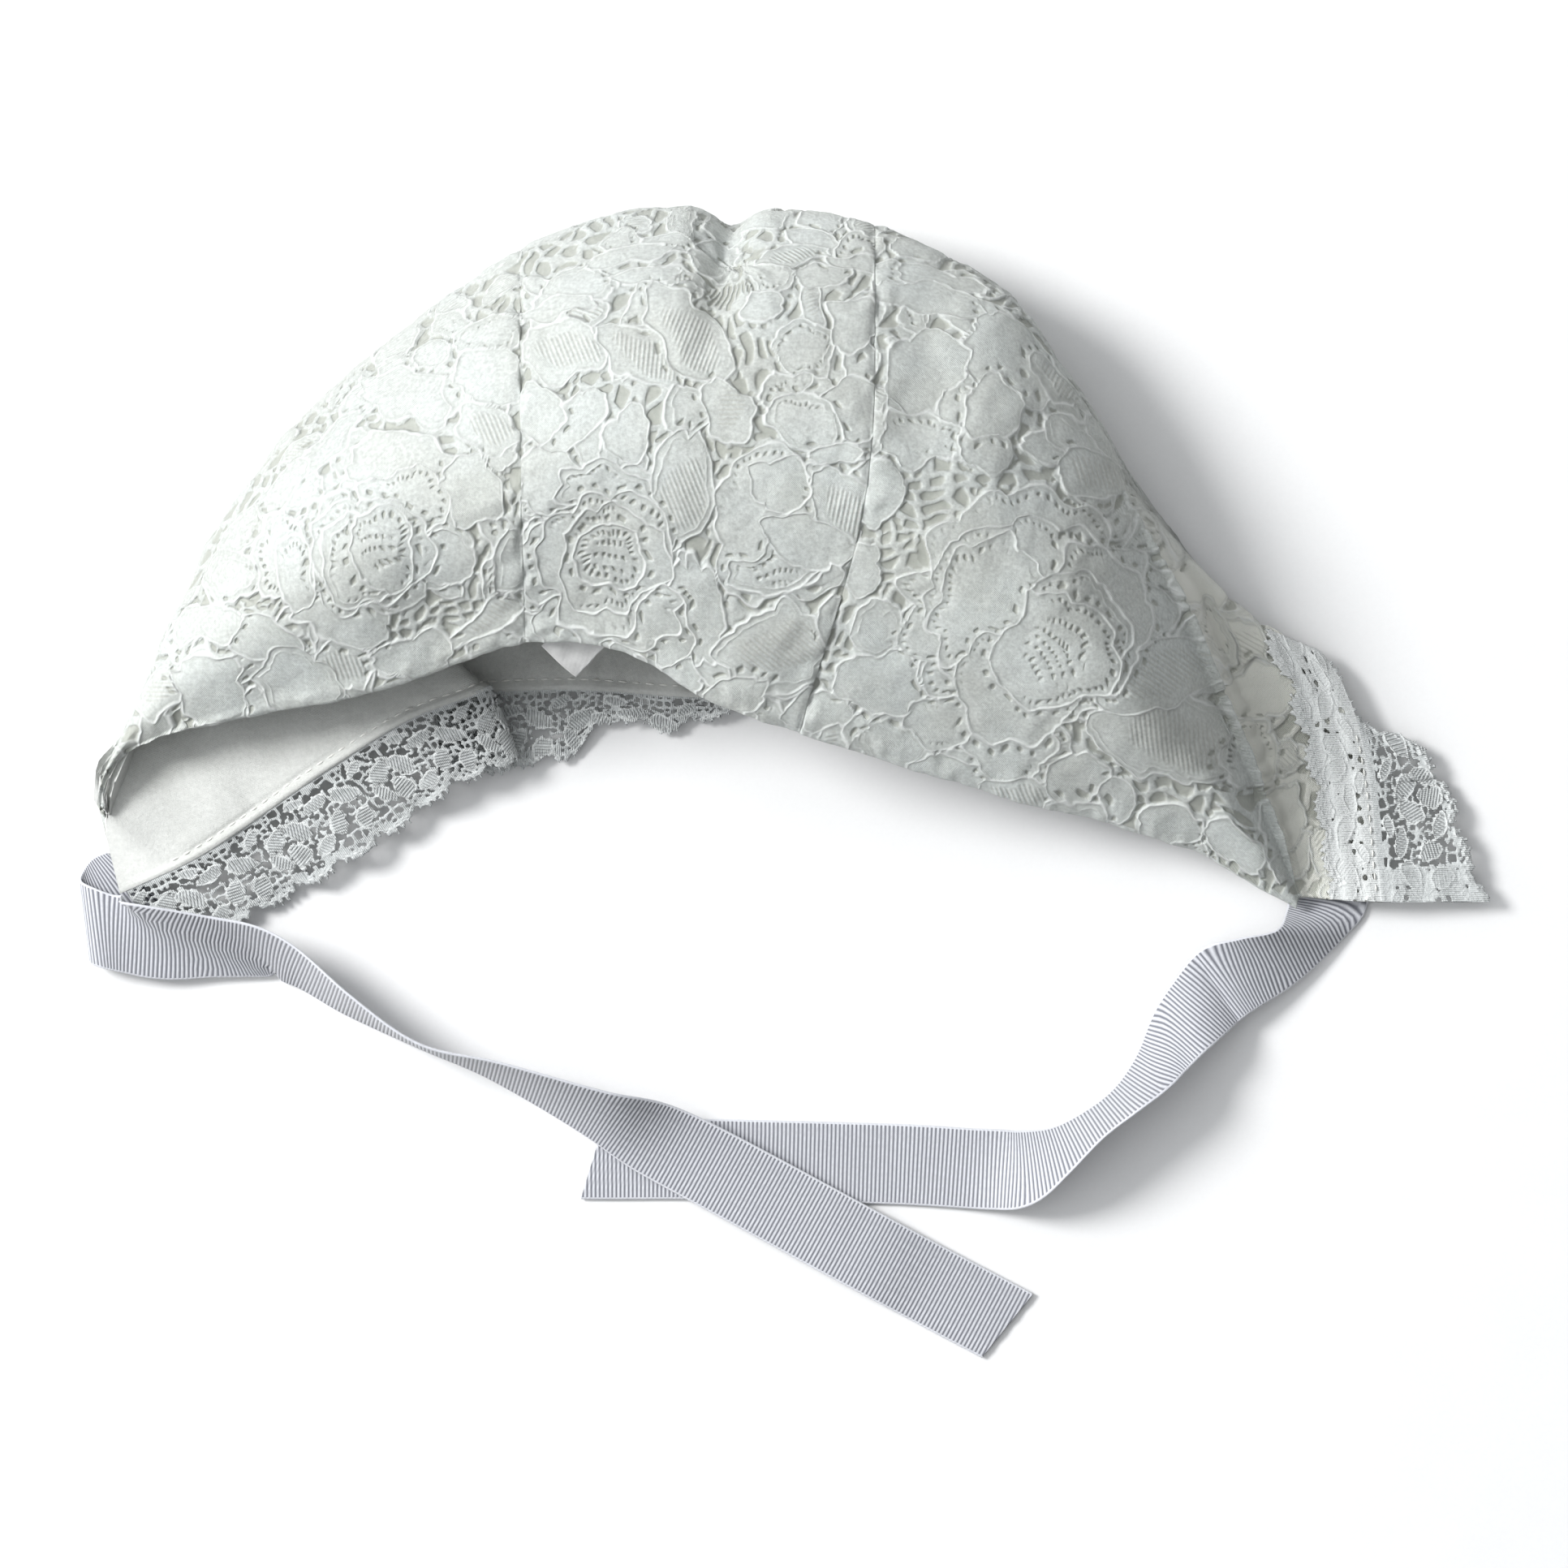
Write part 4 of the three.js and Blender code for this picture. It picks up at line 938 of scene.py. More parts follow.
def trim_fields(s, t, out, dense):
    """The edging at each place: how far inside the cloth it is, how high its threads stand,
    and its marks."""
    fine = net_gap(s / 1.5, t / 1.3, 8) * 1.4
    coarse = net_gap(s / 2.4, t / 2.0, 5) * 2.1
    gap = np.where(ripple(s, t, 8, 3) > 0.15, coarse, fine)
    value = (0.24 + 0.3 * dense) - gap
    rise = -0.34 * dense * np.clip(gap * 2.4 - 0.3, 0, 1)
    cord_away = np.where(dense > 0.5, np.minimum(gap + 0.06, CORD_FAR), CORD_FAR)
    hatch, phase = np.zeros_like(s), np.zeros_like(s)
    local = np.mod(s, TRIM_REPEAT)
    for number, (x, y, long, wide, aim) in enumerate(TRIM_PETALS):
        for turn in (-TRIM_REPEAT, 0, TRIM_REPEAT):
            u, v = turned(local - x - turn, t - y, aim)
            away, angle = petal_edge(u, v, long * 0.84, wide * 0.8, 4 + number % 3, number)
            ring = 0.3 - np.abs(away - 0.66)
            spaced = np.cos(angle * np.round((long + wide) * 2.1) + number) - 0.2
            ladder = np.minimum(ring, spaced * 0.4) * (1 - dense)
            cut = np.where(ladder > 0, -ladder, value)
            value = np.where(away > 0.1, np.minimum(value, cut), value)
            value = np.maximum(value, -away)
            inside = eased(-away, 0, 0.3)
            rise = rise * (1 - inside * (1 - 0.6 * dense)) + 0.1 * inside
            rise = np.maximum(rise, 0.2 * np.exp(-(away / 0.3) ** 2))
            hatch = np.where(away < -0.3, inside, np.where(away < 0, 0, hatch))
            phase = np.where(away < 0, (u + 0.3 * v) * 2 * np.pi / TRIM_RIB, phase)
            cord_away = np.minimum(np.abs(away), np.where(away < 0, CORD_FAR, cord_away))
    value = np.maximum(value, 0.9 - t)
    scallop = out - 1.9 * (1 - np.abs(np.sin(np.pi * s / 9.5))) ** 1.4
    scallop = scallop - 0.6 + 0.6 * np.clip(np.cos(2 * np.pi * s / 1.7) * 2, 0, 1)
    border = 0.5 - np.abs(t - (scallop - 1.2))
    value = np.maximum(value, border)
    second = 0.24 - np.abs(t - (scallop - 2.5))
    value = np.maximum(value, second)
    rise = np.maximum(rise, 0.2 * np.clip(border / 0.4, 0, 1))
    cord_away = np.minimum(cord_away, np.abs(t - (scallop - 1.2)))
    marks = {
        "cord_away": cord_away + 0.12 * dense, "hatch": hatch * (1 - 0.75 * dense),
        "hatch_phase": phase,
    }
    return np.minimum(value, scallop - t), rise, marks


# The edging beyond the face edge: its ruffles, the lining's wall that it starts behind, the
# face edge's place across the hat, the cells of its meshes and the inset of its rim
RUFFLE_HEIGHT = 1.8
RUFFLE_PITCH = 24
LONGEST_LINE = 328
LINING_WALL = 2.3
FACE_ACROSS = 4.0
BROW_CELL = (0.32, 1 / 60)
BROW_CELLS_OUT = 60
SIDE_CELL = (0.28, 1 / 150)
SIDE_CELLS_OUT = 150
RIM_INSET = 0.05


def free_trim(at, share, start, depth, lay, clear=0.3):
    """Places of the edging beyond the face edge, as it falls and ruffles."""
    turns = at * LONGEST_LINE / RUFFLE_PITCH
    rise = RUFFLE_HEIGHT * (0.5 - 0.5 * np.cos(2 * np.pi * turns)) * share
    rise = rise + 0.35 * np.sin(2 * np.pi * turns * 2.7 + 1) * share
    run = clear + depth * share
    drop = np.where(start[..., 2] > 6, 0.55, 0.75)
    fall = start[..., 2] + (0.8 - start[..., 2]) * share * drop
    return np.stack([
        start[..., 0] + np.cos(lay) * run,
        start[..., 1] + np.sin(lay) * run,
        np.maximum(fall + rise, 0.5),
    ], axis=-1)


def brow_trim():
    """The edging from the left ear to the brow, standing off the face edge."""
    at = np.linspace(0.004, BROW_TRIM_END, 900)
    normals = outward(at, np.array([FACE_ACROSS]))[:, 0]
    start = hat_line(at, FACE_ACROSS) - normals * LINING_WALL * 0.85
    length = travel_of(start)
    depth = TRIM_DEPTH * column(BROW_REACH, 1, at)
    lay = np.radians(column(FACE_EDGE, 4, at))

    def place(s, t):
        here, out, aim = (np.interp(s, length, v) for v in (at, depth, lay))
        base = read_points(s, length, start)
        points = free_trim(here, t, base, out, aim, clear=-0.6)
        return points, facing_up(points)

    def fields(s, t):
        out = np.interp(s, length, depth)
        return trim_fields(s, t * out, out - RIM_INSET, 0.0)

    counts = (int(length[-1] / BROW_CELL[0]), BROW_CELLS_OUT)
    piece = pierced_sheet("bonnet_trim_brow", place, fields, counts, BROW_CELL)
    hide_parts("trim_brow")
    return piece


LAP_START = 2.84
LAP_SHARE = 0.5
SEWN_SHARES = (0.45, 0.46, 0.47)
SEWN_STOPS = 90
SEWN_PITCH = 2.3
# How far the lap stands off the hat's surface, and how far from the ear's corner the edging
# starts to lie double and does so in full
LAP_OFF = 0.3 + TRIM_THICKNESS / 2 + 0.25
DOUBLED_FROM = 7.2
DOUBLED_TO = 6.8
DOUBLED_RISE = 0.35


def side_trim():
    """The edging at the right ear: it laps over the lace and then stands free."""
    at = np.linspace(SIDE_TRIM_START, 1.0, 400)
    edge = hat_line(at, FACE_ACROSS)
    length = travel_of(edge)
    depth = np.maximum(TRIM_DEPTH * column(SIDE_REACH, 1, at), 0.4)
    lay = np.radians(column(FACE_EDGE, 4, at))
    lap_depth = np.linalg.norm(edge - hat_line(at, LAP_START), axis=1) * 1.05

    def place(s, t):
        shape = s.shape
        here = np.interp(s.ravel(), length, at)
        lap = np.clip(t.ravel() / LAP_SHARE, 0, 1)
        over = (LAP_START + (FACE_ACROSS - LAP_START) * lap)[:, None]
        normals = outward(here, over)[:, 0]
        base = hat_surface(here, over)[:, 0] + normals * LAP_OFF
        base += normals * (0.12 * ripple(base[:, 0], base[:, 1], 7, 2))[:, None]
        free = np.clip((t.ravel() - LAP_SHARE) / (1 - LAP_SHARE), 0, 1)
        out, aim = (np.interp(here, at, v) for v in (depth, lay))
        beyond = free_trim(here, free, base, out, aim)
        points = np.where((free > 0)[:, None], beyond, base).reshape(*shape, 3)
        return points, facing_up(points)

    def fields(s, t):
        out = np.interp(s, length, depth)
        lap = np.interp(s, length, lap_depth)
        free = np.clip((t - LAP_SHARE) / (1 - LAP_SHARE), 0, 1) * out
        doubled = eased(s, length[-1] - DOUBLED_FROM, length[-1] - DOUBLED_TO)
        outer, outer_rise, outer_marks = trim_fields(s, free, out - RIM_INSET, doubled)
        outer_rise = outer_rise + DOUBLED_RISE * doubled
        up_lap = (1 - t / LAP_SHARE) * lap
        inner, inner_rise, inner_marks = trim_fields(s + 9, up_lap, lap - 2 * RIM_INSET, 1.0)
        on_lap = t < LAP_SHARE
        marks = {k: np.where(on_lap, inner_marks[k], outer_marks[k]) for k in inner_marks}
        # Where the edging laps over the lace; its finish draws it lighter there, partly with
        # painted light
        marks["lapped"] = on_lap.astype(float)
        return np.where(on_lap, inner, outer), np.where(on_lap, inner_rise, outer_rise), marks

    counts = (int(length[-1] / SIDE_CELL[0]), SIDE_CELLS_OUT)
    piece = pierced_sheet("bonnet_trim_side", place, fields, counts, SIDE_CELL)
    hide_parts("trim_side")
    sewn = np.linspace(length[-1] * 0.35, length[-1] - 1, SEWN_STOPS)
    points, facing = place(*np.meshgrid(sewn, SEWN_SHARES, indexing="ij"))
    line = (points + facing * (TRIM_THICKNESS / 2 + 0.08))[:, 1]
    thread = stitch_row("bonnet_stitch_side", line, facing[:, 1], SEWN_PITCH)
    return piece, thread


LABEL_SIDE = 10
LABEL_AT = 0.405
LABEL_ACROSS = 0.12
LABEL_HANG = 3.2
LABEL_HALF = 0.12
LABEL_POINTS = 33
# The directions of the label's two edges from the corner that holds it
LABEL_EDGES = [(0.66, -0.6, -0.45), (-0.6, -0.62, -0.5)]


def label():
    """A bare woven label held at one corner under the neck edge."""
    spot = np.array([LABEL_AT]), np.array([LABEL_ACROSS])
    held = hat_surface(*spot)[0, 0] - outward(*spot)[0, 0] * LABEL_HANG
    sides = unit(np.array(LABEL_EDGES))
    facing = unit(np.cross(sides[1], sides[0]))
    share = np.linspace(0, 1, LABEL_POINTS)
    u, v = np.meshgrid(share, share, indexing="ij")
    curl = 0.5 * np.sin(np.pi * u) * v + 0.25 * ripple(u * 10, v * 10, 5, 2)
    points = held + (u[..., None] * sides[0] + v[..., None] * sides[1]) * LABEL_SIDE
    points = points + facing * (curl * 0.6)[..., None]
    points, faces = closed_sheet(points + facing * LABEL_HALF, points - facing * LABEL_HALF, 1)
    uv = np.stack([both_sides(u, 1), both_sides(v, 1)], axis=1) * LABEL_SIDE
    piece = mesh_object("bonnet_label", points, faces, LABEL_TAPE, uv=uv)
    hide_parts("label")
    return piece


# A stitch: its share of the pitch, its points along and round, its arch, how far its ends
# dive and its half width
STITCH_SHARE = 0.62
STITCH_POINTS = 6
STITCH_ARCH = 0.3
STITCH_SINK = 0.06
STITCH_HALF = 0.2


def stitch_row(name, line, facing, pitch):
    """A row of sewn stitches, each a short thread that dives at its ends."""
    travel = travel_of(line)
    count = int(travel[-1] / pitch)
    starts = (np.arange(count) + 0.2) * pitch
    share = np.linspace(0, 1, STITCH_POINTS)
    points, faces = [], []
    for number, start in enumerate(starts):
        place = start + share * pitch * STITCH_SHARE
        path = read_points(place, travel, line)
        up = unit(read_points(place, travel, facing))
        aside = unit(np.cross(np.gradient(path, axis=0), up))
        arch = (np.sin(np.pi * share) * STITCH_ARCH - STITCH_SINK)[:, None]
        thick = STITCH_HALF * (0.55 + 0.45 * np.sin(np.pi * share))[:, None]
        ring = []
        for k in range(STITCH_POINTS):
            turn = math.tau * k / STITCH_POINTS
            lifted = up * (arch + thick * math.sin(turn))
            ring.append(path + lifted + aside * thick * math.cos(turn))
        points.append(np.stack(ring, axis=1).reshape(-1, 3))
        ids = np.arange(STITCH_POINTS ** 2).reshape(STITCH_POINTS, STITCH_POINTS)
        ids = ids + number * STITCH_POINTS ** 2
        ids = np.concatenate([ids, ids[:, :1]], axis=1)
        faces.append(quads(ids))
    return mesh_object(name, np.concatenate(points), faces, THREAD)


# Finishes from here on
def link(tree, start, end):
    tree.links.new(start, end)


def set_sockets(node, values):
    """Set a node's inputs by their names."""
    for socket, value in values.items():
        node.inputs[socket].default_value = value


def group_tree(name, inputs, outputs):
    """An empty node group with named sockets."""
    tree = bpy.data.node_groups.new(name, "ShaderNodeTree")
    for label_text, kind, value in inputs:
        socket = tree.interface.new_socket(name=label_text, in_out="INPUT", socket_type=kind)
        if value is not None:
            socket.default_value = value
    for label_text, kind in outputs:
        tree.interface.new_socket(name=label_text, in_out="OUTPUT", socket_type=kind)
    return tree, tree.nodes.new("NodeGroupInput"), tree.nodes.new("NodeGroupOutput")


def maths(tree, kind, first, second=None):
    node = tree.nodes.new("ShaderNodeMath")
    node.operation = kind
    for socket, value in zip(node.inputs, (first, second)):
        if value is None:
            continue
        if isinstance(value, (int, float)):
            socket.default_value = value
        else:
            link(tree, value, socket)
    return node.outputs[0]


def thread_weave_group():
    """Over and under of two sets of threads, from the cloth's own coordinates in mm."""
    tree, given, put = group_tree(
        "thread weave",
        [("Place", "NodeSocketVector", None), ("Pitch", "NodeSocketFloat", 0.4)],
        [("Height", "NodeSocketFloat")],
    )
    parts = tree.nodes.new("ShaderNodeSeparateXYZ")
    link(tree, given.outputs["Place"], parts.inputs[0])
    turn = maths(tree, "DIVIDE", math.tau, given.outputs["Pitch"])
    one = maths(tree, "SINE", maths(tree, "MULTIPLY", parts.outputs[0], turn))
    two = maths(tree, "SINE", maths(tree, "MULTIPLY", parts.outputs[1], turn))
    link(tree, maths(tree, "MULTIPLY", one, two), put.inputs[0])
    return tree


def ribs_group():
    """Cords of a ribbed ribbon across its length, 1 on a rib and 0 in a groove; the second output
    is where painted shade darkens the grooves, inside the selvedges.
    """
    tree, given, put = group_tree(
        "ribbon ribs",
        [("Place", "NodeSocketVector", None), ("Pitch", "NodeSocketFloat", RIB_PITCH)],
        [("Rib", "NodeSocketFloat"), ("Groove Shade", "NodeSocketFloat")],
    )
    parts = tree.nodes.new("ShaderNodeSeparateXYZ")
    link(tree, given.outputs["Place"], parts.inputs[0])
    turn = maths(tree, "DIVIDE", math.tau, given.outputs["Pitch"])
    wave = maths(tree, "COSINE", maths(tree, "MULTIPLY", parts.outputs[0], turn))
    rib = maths(tree, "MULTIPLY_ADD", wave, 0.5)
    rib.node.inputs[2].default_value = 0.5
    inside = maths(tree, "LESS_THAN", maths(tree, "ABSOLUTE", parts.outputs[1]), 7.62)
    hollow = maths(tree, "SUBTRACT", 1.0, rib)
    groove = maths(tree, "MULTIPLY", maths(tree, "POWER", hollow, 1.2), inside)
    link(tree, rib, put.inputs["Rib"])
    link(tree, groove, put.inputs["Groove Shade"])
    return tree


def clouds_group():
    """Slow drift between two shades of one cloth."""
    tree, given, put = group_tree(
        "cloth clouds",
        [
            ("Shade", "NodeSocketColor", (0.8, 0.8, 0.8, 1)),
            ("Other Shade", "NodeSocketColor", (0.8, 0.8, 0.8, 1)),
            ("Size", "NodeSocketFloat", 60.0),
            ("Speckle", "NodeSocketFloat", 0.16),
        ],
        [("Color", "NodeSocketColor"), ("Fuzz", "NodeSocketFloat")],
    )
    place = tree.nodes.new("ShaderNodeTexCoord")
    noise = tree.nodes.new("ShaderNodeTexNoise")
    set_sockets(noise, {"Detail": 4})
    link(tree, place.outputs["Object"], noise.inputs["Vector"])
    link(tree, given.outputs["Size"], noise.inputs["Scale"])
    fine = tree.nodes.new("ShaderNodeTexNoise")
    set_sockets(fine, {"Scale": 1250, "Detail": 3, "Roughness": 0.7})
    link(tree, place.outputs["Object"], fine.inputs["Vector"])
    spread = tree.nodes.new("ShaderNodeMapRange")
    set_sockets(spread, {"From Min": 0.35, "From Max": 0.65})
    link(tree, noise.outputs[0], spread.inputs["Value"])
    mix = tree.nodes.new("ShaderNodeMix")
    mix.data_type = "RGBA"
    link(tree, spread.outputs[0], mix.inputs[0])
    link(tree, given.outputs["Shade"], mix.inputs[6])
    link(tree, given.outputs["Other Shade"], mix.inputs[7])
    speckle = tree.nodes.new("ShaderNodeMapRange")
    set_sockets(speckle, {"From Min": 0.3, "From Max": 0.7})
    link(tree, maths(tree, "SUBTRACT", 1.0, given.outputs["Speckle"]), speckle.inputs["To Min"])
    link(tree, maths(tree, "ADD", 1.0, given.outputs["Speckle"]), speckle.inputs["To Max"])
    link(tree, fine.outputs[0], speckle.inputs["Value"])
    scaled = tree.nodes.new("ShaderNodeVectorMath")
    scaled.operation = "SCALE"
    link(tree, mix.outputs[2], scaled.inputs[0])
    link(tree, speckle.outputs[0], scaled.inputs["Scale"])
    link(tree, scaled.outputs[0], put.inputs["Color"])
    link(tree, fine.outputs[0], put.inputs["Fuzz"])
    return tree


def cords_group():
    """A thin raised cord and the shade beside it, from how far away the cord's middle is."""
    tree, given, put = group_tree(
        "raised cords",
        [("Away", "NodeSocketFloat", 1.0), ("Half Width", "NodeSocketFloat", 0.25)],
        [("Cord", "NodeSocketFloat"), ("Shade Beside", "NodeSocketFloat")],
    )
    widths = maths(tree, "DIVIDE", given.outputs["Away"], given.outputs["Half Width"])
    link(tree, bell(tree, widths, 0.0, 1.0), put.inputs["Cord"])
    link(tree, bell(tree, widths, 2.2, 0.8), put.inputs["Shade Beside"])
    return tree


def hatching_group():
    """Fine stripes of close threads, where their strength says."""
    tree, given, put = group_tree(
        "hatching",
        [("Phase", "NodeSocketFloat", 0.0), ("Strength", "NodeSocketFloat", 0.0)],
        [("Stripe", "NodeSocketFloat"), ("Gap Shade", "NodeSocketFloat")],
    )
    wave = maths(tree, "SINE", given.outputs["Phase"])
    stripe = maths(tree, "MULTIPLY", wave, given.outputs["Strength"])
    link(tree, stripe, put.inputs["Stripe"])
    link(tree, soft_step(tree, maths(tree, "MULTIPLY", stripe, -1.0), 0.1, 0.8), put.inputs["Gap Shade"])
    return tree


def bell(tree, value, middle, half):
    """1 where the value is at the middle, falling away softly on both sides."""
    away = maths(tree, "DIVIDE", maths(tree, "SUBTRACT", value, middle), half)
    square = maths(tree, "MULTIPLY", away, away)
    return maths(tree, "EXPONENT", maths(tree, "MULTIPLY", square, -1.0))


def soft_step(tree, value, start, end):
    node = tree.nodes.new("ShaderNodeMapRange")
    node.interpolation_type = "SMOOTHSTEP"
    set_sockets(node, {"From Min": start, "From Max": end})
    link(tree, value, node.inputs["Value"])
    return node.outputs[0]


THREAD_WEAVE = thread_weave_group()
RIBBON_RIBS = ribs_group()
CLOTH_CLOUDS = clouds_group()
RAISED_CORDS = cords_group()
HATCHING = hatching_group()


def place_group(tree, group):
    node = tree.nodes.new("ShaderNodeGroup")
    node.node_tree = group
    return node


def mixed(tree, share, first, second):
    """A colour between two: each is a socket or a colour."""
    node = tree.nodes.new("ShaderNodeMix")
    node.data_type = "RGBA"
    link(tree, share, node.inputs[0])
    for socket, value in ((node.inputs[6], first), (node.inputs[7], second)):
        if isinstance(value, tuple):
            socket.default_value = (*value, 1)
        else:
            link(tree, value, socket)
    return node.outputs[2]


def clouded(name, shade, other, shader_values, cloud_values):
    """A material whose colour drifts between two shades, with the parts to build on."""
    material = bpy.data.materials.new(name)
    material.use_nodes = True
    tree = material.node_tree
    shader = tree.nodes["Principled BSDF"]
    set_sockets(shader, shader_values)
    clouds = place_group(tree, CLOTH_CLOUDS)
    set_sockets(clouds, {"Shade": (*shade, 1), "Other Shade": (*other, 1), **cloud_values})
    color = clouds.outputs["Color"]
    link(tree, color, shader.inputs["Base Color"])
    return material, tree, shader, color, clouds


def cloth_finish(name, shade, other, roughness, sheen, weave_pitch, threads, fuzz, speckle):
    """The ground of every cloth here: clouds of colour, its threads and a soft nap, whose
    heights are in millimetres."""
    material, tree, shader, color, clouds = clouded(
        name, shade, other,
        {"Roughness": roughness, "Sheen Weight": sheen, "Sheen Roughness": 0.5,
         "Specular IOR Level": 0.25},
        {"Speckle": speckle})
    weave = place_group(tree, THREAD_WEAVE)
    set_sockets(weave, {"Pitch": weave_pitch})
    place = tree.nodes.new("ShaderNodeUVMap")
    place.uv_map = "cloth"
    link(tree, place.outputs[0], weave.inputs["Place"])
    nap = maths(tree, "MULTIPLY", clouds.outputs["Fuzz"], fuzz)
    woven = maths(tree, "MULTIPLY", weave.outputs["Height"], threads)
    height = maths(tree, "ADD", woven, nap)
    raised = tree.nodes.new("ShaderNodeBump")
    set_sockets(raised, {"Strength": 1.0, "Distance": MM})
    link(tree, height, raised.inputs["Height"])
    link(tree, raised.outputs[0], shader.inputs["Normal"])
    return Finish(material, tree, shader, color, place.outputs[0], height, raised)


class Finish:
    """A cloth's material with the parts that its own details are joined to."""

    def __init__(self, material, tree, shader, color, place, height, raised):
        self.material = material
        self.tree = tree
        self.shader = shader
        self.color = color
        self.place = place
        self.height = height
        self.raised = raised

    def raise_by(self, value, amount):
        part = maths(self.tree, "MULTIPLY", value, amount)
        self.height = maths(self.tree, "ADD", self.height, part)
        link(self.tree, self.height, self.raised.inputs["Height"])

    def tint(self, mask, strength, color):
        share = maths(self.tree, "MULTIPLY", mask, strength)
        self.color = mixed(self.tree, share, self.color, color)
        link(self.tree, self.color, self.shader.inputs["Base Color"])


def mark_value(tree, name):
    node = tree.nodes.new("ShaderNodeAttribute")
    node.attribute_name = name
    return node.outputs["Fac"]


def cords_and_hatching(finish, half_width):
    """The two effects that both laces share, read from the marks on the cloth."""
    cords = place_group(finish.tree, RAISED_CORDS)
    set_sockets(cords, {"Half Width": half_width})
    link(finish.tree, mark_value(finish.tree, "cord_away"), cords.inputs["Away"])
    hatching = place_group(finish.tree, HATCHING)
    link(finish.tree, mark_value(finish.tree, "hatch_phase"), hatching.inputs["Phase"])
    link(finish.tree, mark_value(finish.tree, "hatch"), hatching.inputs["Strength"])
    return cords, hatching


def corded_lace():
    finish = cloth_finish(
        "corded lace", (0.585, 0.615, 0.595), (0.545, 0.565, 0.535), roughness=0.9, sheen=0.2,
        weave_pitch=0.42, threads=0.05, fuzz=0.36, speckle=0.18)
    tree = finish.tree
    cords, hatching = cords_and_hatching(finish, 0.24)
    hollow = soft_step(tree, mark_value(tree, "hollow"), 0.25, 0.8)
    finish.raise_by(cords.outputs["Cord"], 0.26)
    finish.raise_by(hollow, -0.2)
    finish.raise_by(hatching.outputs["Stripe"], 0.07)
    # Painted light, with the cloth's own ivory tone: the shaded side past the right ear's crease is
    # drawn lighter
    finish.tint(mark_value(tree, "ivory_and_painted_light"), 0.9, (0.82, 0.82, 0.75))
    # Painted shade: the lace is darkened just beside each raised cord, where the cord's shadow
    # would lie
    finish.tint(cords.outputs["Shade Beside"], 0.35, (0.42, 0.44, 0.41))
    # Painted shade in the grooves between the hatching's stripes
    finish.tint(hatching.outputs["Gap Shade"], 0.35, (0.42, 0.42, 0.37))
    # The lace's holes are tinted dark: partly the lining's tone seen through them, partly painted
    # shade in the recess
    finish.tint(hollow, 0.65, (0.36, 0.37, 0.32))
    # Painted highlight: the raised cords are drawn lighter than the cloth round them
    finish.tint(cords.outputs["Cord"], 0.8, (0.76, 0.78, 0.76))
    return finish.material


def satin_lining():
    return cloth_finish(
        "lining cloth", (0.66, 0.67, 0.645), (0.59, 0.60, 0.575), roughness=0.48, sheen=0.3,
        weave_pitch=0.3, threads=0.03, fuzz=0.16, speckle=0.08,
    ).material


def lace_edging():
    finish = cloth_finish(
        "lace edging", (0.62, 0.645, 0.64), (0.54, 0.56, 0.56), roughness=0.9, sheen=0.2,
        weave_pitch=0.36, threads=0.08, fuzz=0.3, speckle=0.13)
    tree = finish.tree
    cords, hatching = cords_and_hatching(finish, 0.2)
    finish.raise_by(cords.outputs["Cord"], 0.16)
    finish.raise_by(hatching.outputs["Stripe"], 0.07)
    # Where the edging laps over the lace it is drawn lighter: partly the doubled cloth's fuller
    # white, partly painted light
    finish.tint(mark_value(tree, "lapped"), 0.85, (0.79, 0.81, 0.80))
    # Painted shade in the grooves between the hatching's stripes
    finish.tint(hatching.outputs["Gap Shade"], 0.7, (0.27, 0.28, 0.28))
    # Painted highlight: the raised cords are drawn lighter than the cloth round them
    finish.tint(cords.outputs["Cord"], 0.85, (0.82, 0.84, 0.83))
    return finish.material


def label_tape():
    return cloth_finish(
        "label tape", (0.72, 0.72, 0.71), (0.68, 0.68, 0.67), roughness=0.7, sheen=0.1,
        weave_pitch=0.3, threads=0.02, fuzz=0.04, speckle=0.05,
    ).material


def grosgrain():
    finish = cloth_finish(
        "grosgrain", (0.66, 0.67, 0.71), (0.62, 0.63, 0.67), roughness=0.5, sheen=0.25,
        weave_pitch=0.41, threads=0.01, fuzz=0.06, speckle=0.08)
    tree = finish.tree
    ribs = place_group(tree, RIBBON_RIBS)
    set_sockets(ribs, {"Pitch": RIB_PITCH})
    link(tree, finish.place, ribs.inputs["Place"])
    # Painted shade: the grooves between the ribbon's ribs are darkened, where shade falls between
    # them
    finish.tint(ribs.outputs["Groove Shade"], 1.0, (0.15, 0.155, 0.18))
    return finish.material


def sewing_thread():
    return clouded(
        "sewing thread", (0.84, 0.84, 0.80), (0.76, 0.76, 0.73), {"Roughness": 0.6},
        {"Size": 700})[0]


def floor_paper():
    return clouded(
        "floor paper", (0.84, 0.84, 0.84), (0.83, 0.83, 0.83),
        {"Roughness": 0.95, "Specular IOR Level": 0.1}, {"Speckle": 0.01})[0]


SENSOR_WIDTH = 36
FLOOR_HALF = 3.0
FLOOR_DROP = 0.0003
# The sky is brightest in this direction, above the window
SKY_AIM = (-0.48, 0.2, 0.855)
SKY_RANGE = {"From Min": 0.35, "From Max": 1.0, "To Min": 0.06, "To Max": 1.5}


def make_camera():
    camera = bpy.data.objects.new("camera", bpy.data.cameras.new("camera"))
    bpy.context.scene.collection.objects.link(camera)
    camera.location = (np.array([MIDDLE_X, MIDDLE_Y, CAMERA_HEIGHT]) + BONNET_PLACE) * MM
    camera.data.sensor_width = SENSOR_WIDTH
    camera.data.lens = SENSOR_WIDTH * CAMERA_HEIGHT / (PHOTO_SIDE / PIXELS_PER_MM)
    camera.data.clip_start = 0.05
    camera.data.clip_end = 20
    bpy.context.scene.camera = camera


def make_light(name, place, size, power):
    lamp = bpy.data.lights.new(name, "AREA")
    lamp.shape = "DISK"
    lamp.size = size
    lamp.energy = power
    light = bpy.data.objects.new(name, lamp)
    bpy.context.scene.collection.objects.link(light)
    light.location = place
    x, y, z = place
    light.rotation_euler = (math.atan2(math.hypot(x, y), z), 0, math.atan2(x, -y))


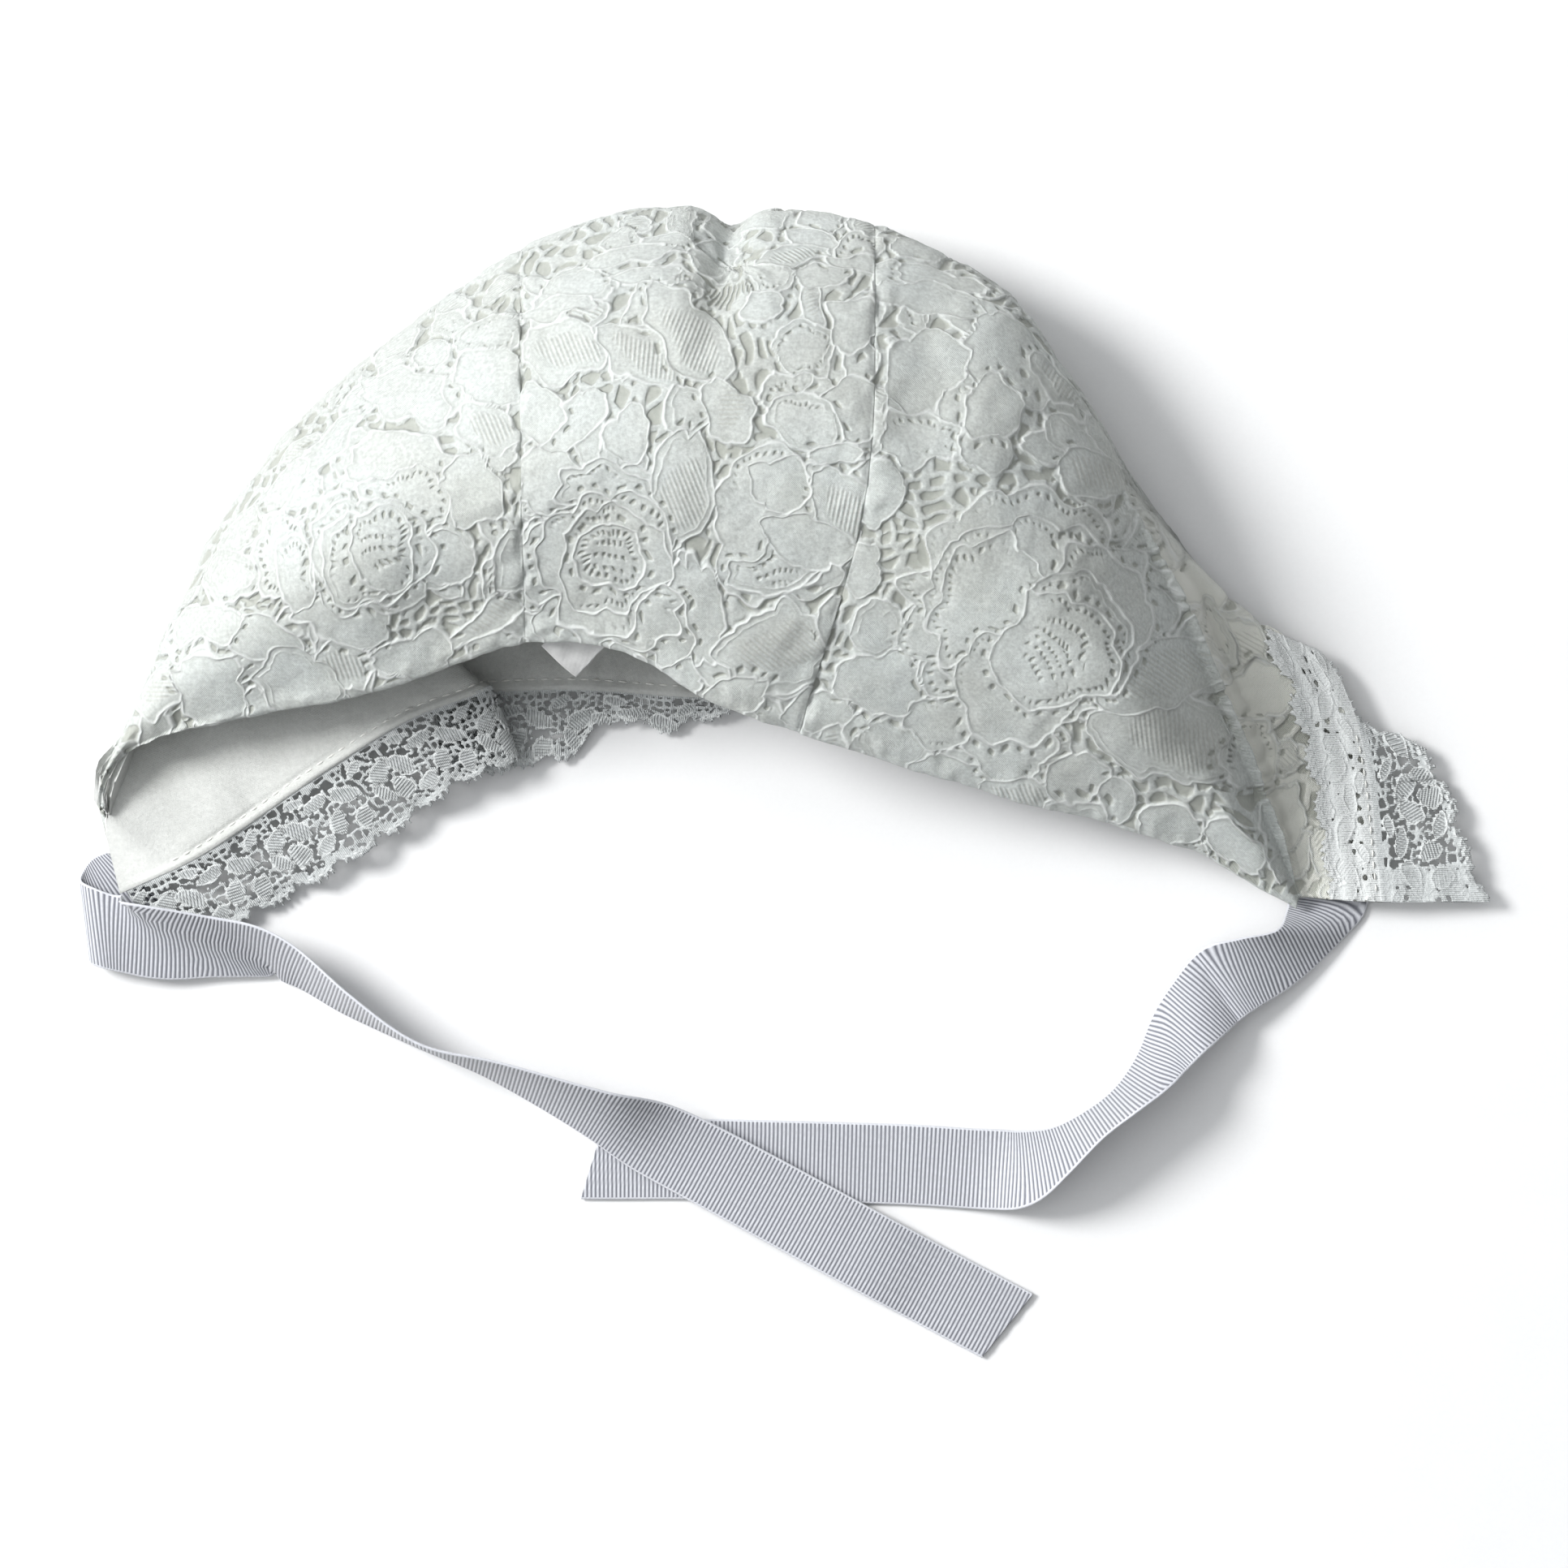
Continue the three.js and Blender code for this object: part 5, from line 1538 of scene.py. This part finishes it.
def make_studio():
    world = bpy.data.worlds.new("studio")
    world.use_nodes = True
    tree = world.node_tree
    place = tree.nodes.new("ShaderNodeTexCoord")
    toward = tree.nodes.new("ShaderNodeVectorMath")
    toward.operation = "DOT_PRODUCT"
    toward.inputs[1].default_value = SKY_AIM
    link(tree, place.outputs["Generated"], toward.inputs[0])
    bright = tree.nodes.new("ShaderNodeMapRange")
    set_sockets(bright, SKY_RANGE)
    link(tree, toward.outputs["Value"], bright.inputs["Value"])
    sky = tree.nodes["Background"]
    sky.inputs[0].default_value = (0.96, 0.98, 1.0, 1)
    link(tree, bright.outputs[0], sky.inputs[1])
    bpy.context.scene.world = world
    make_light("window", place=(-1.2, 0.5, 1.2), size=0.6, power=31)
    floor = bpy.data.meshes.new("floor")
    corners = [(-1, -1), (1, -1), (1, 1), (-1, 1)]
    floor.from_pydata(
        [(x * FLOOR_HALF, y * FLOOR_HALF, -FLOOR_DROP) for x, y in corners], [],
        [(0, 1, 2, 3)])
    plane = bpy.data.objects.new("floor", floor)
    plane.data.materials.append(floor_paper())
    bpy.context.scene.collection.objects.link(plane)
    bpy.context.scene.view_settings.view_transform = "Standard"


make_camera()
make_studio()
LACE = corded_lace()
LINING = satin_lining()
TRIM = lace_edging()
LABEL_TAPE = label_tape()
RIBBON = grosgrain()
THREAD = sewing_thread()

# Each panel: its piece and node, from where to where along the hat, its cells along, its
# cells across, its petals and its seams
PANELS = [
    ("bonnet_lace_left", "lace_left", 0.0, LEFT_SEAM, 336,
     [(ROLL_INSET, 1, 104), (1, 2, 119), (2, 4, 41)], LEFT_PETALS, [LEFT_SEAM]),
    ("bonnet_lace_centre", "lace_centre", LEFT_SEAM, RIGHT_SEAM, 208,
     [(ROLL_INSET, 1, 160), (1, 2, 175), (2, 4, 41)], CENTRE_PETALS, [LEFT_SEAM, RIGHT_SEAM]),
    ("bonnet_lace_right", "lace_right", RIGHT_SEAM, 1.0, 288,
     [(ROLL_INSET, 1, 130), (1, 2, 120), (2, 3, 45), (3, 4, 17)], RIGHT_PETALS, [RIGHT_SEAM]),
]
for piece_name, node, *panel in PANELS:
    lace_panel(piece_name, *panel)
    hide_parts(node)
lining_piece, hem_thread = lining()
label_piece = label()
brow_piece = brow_trim()
side_piece, side_thread = side_trim()
LEFT_CORNER = guide_line(FACE_EDGE, [0.0], FOLD_HEIGHT)[0]
RIGHT_CORNER = guide_line(FACE_EDGE, [1.0], FOLD_HEIGHT)[0]
left_tie, left_length = tie_strip("bonnet_tie_left", LEFT_TIE, LEFT_CORNER, 5.5)
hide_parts("tie_left")
right_tie, right_length = tie_strip("bonnet_tie_right", RIGHT_TIE, RIGHT_CORNER, -1)
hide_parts("tie_right")
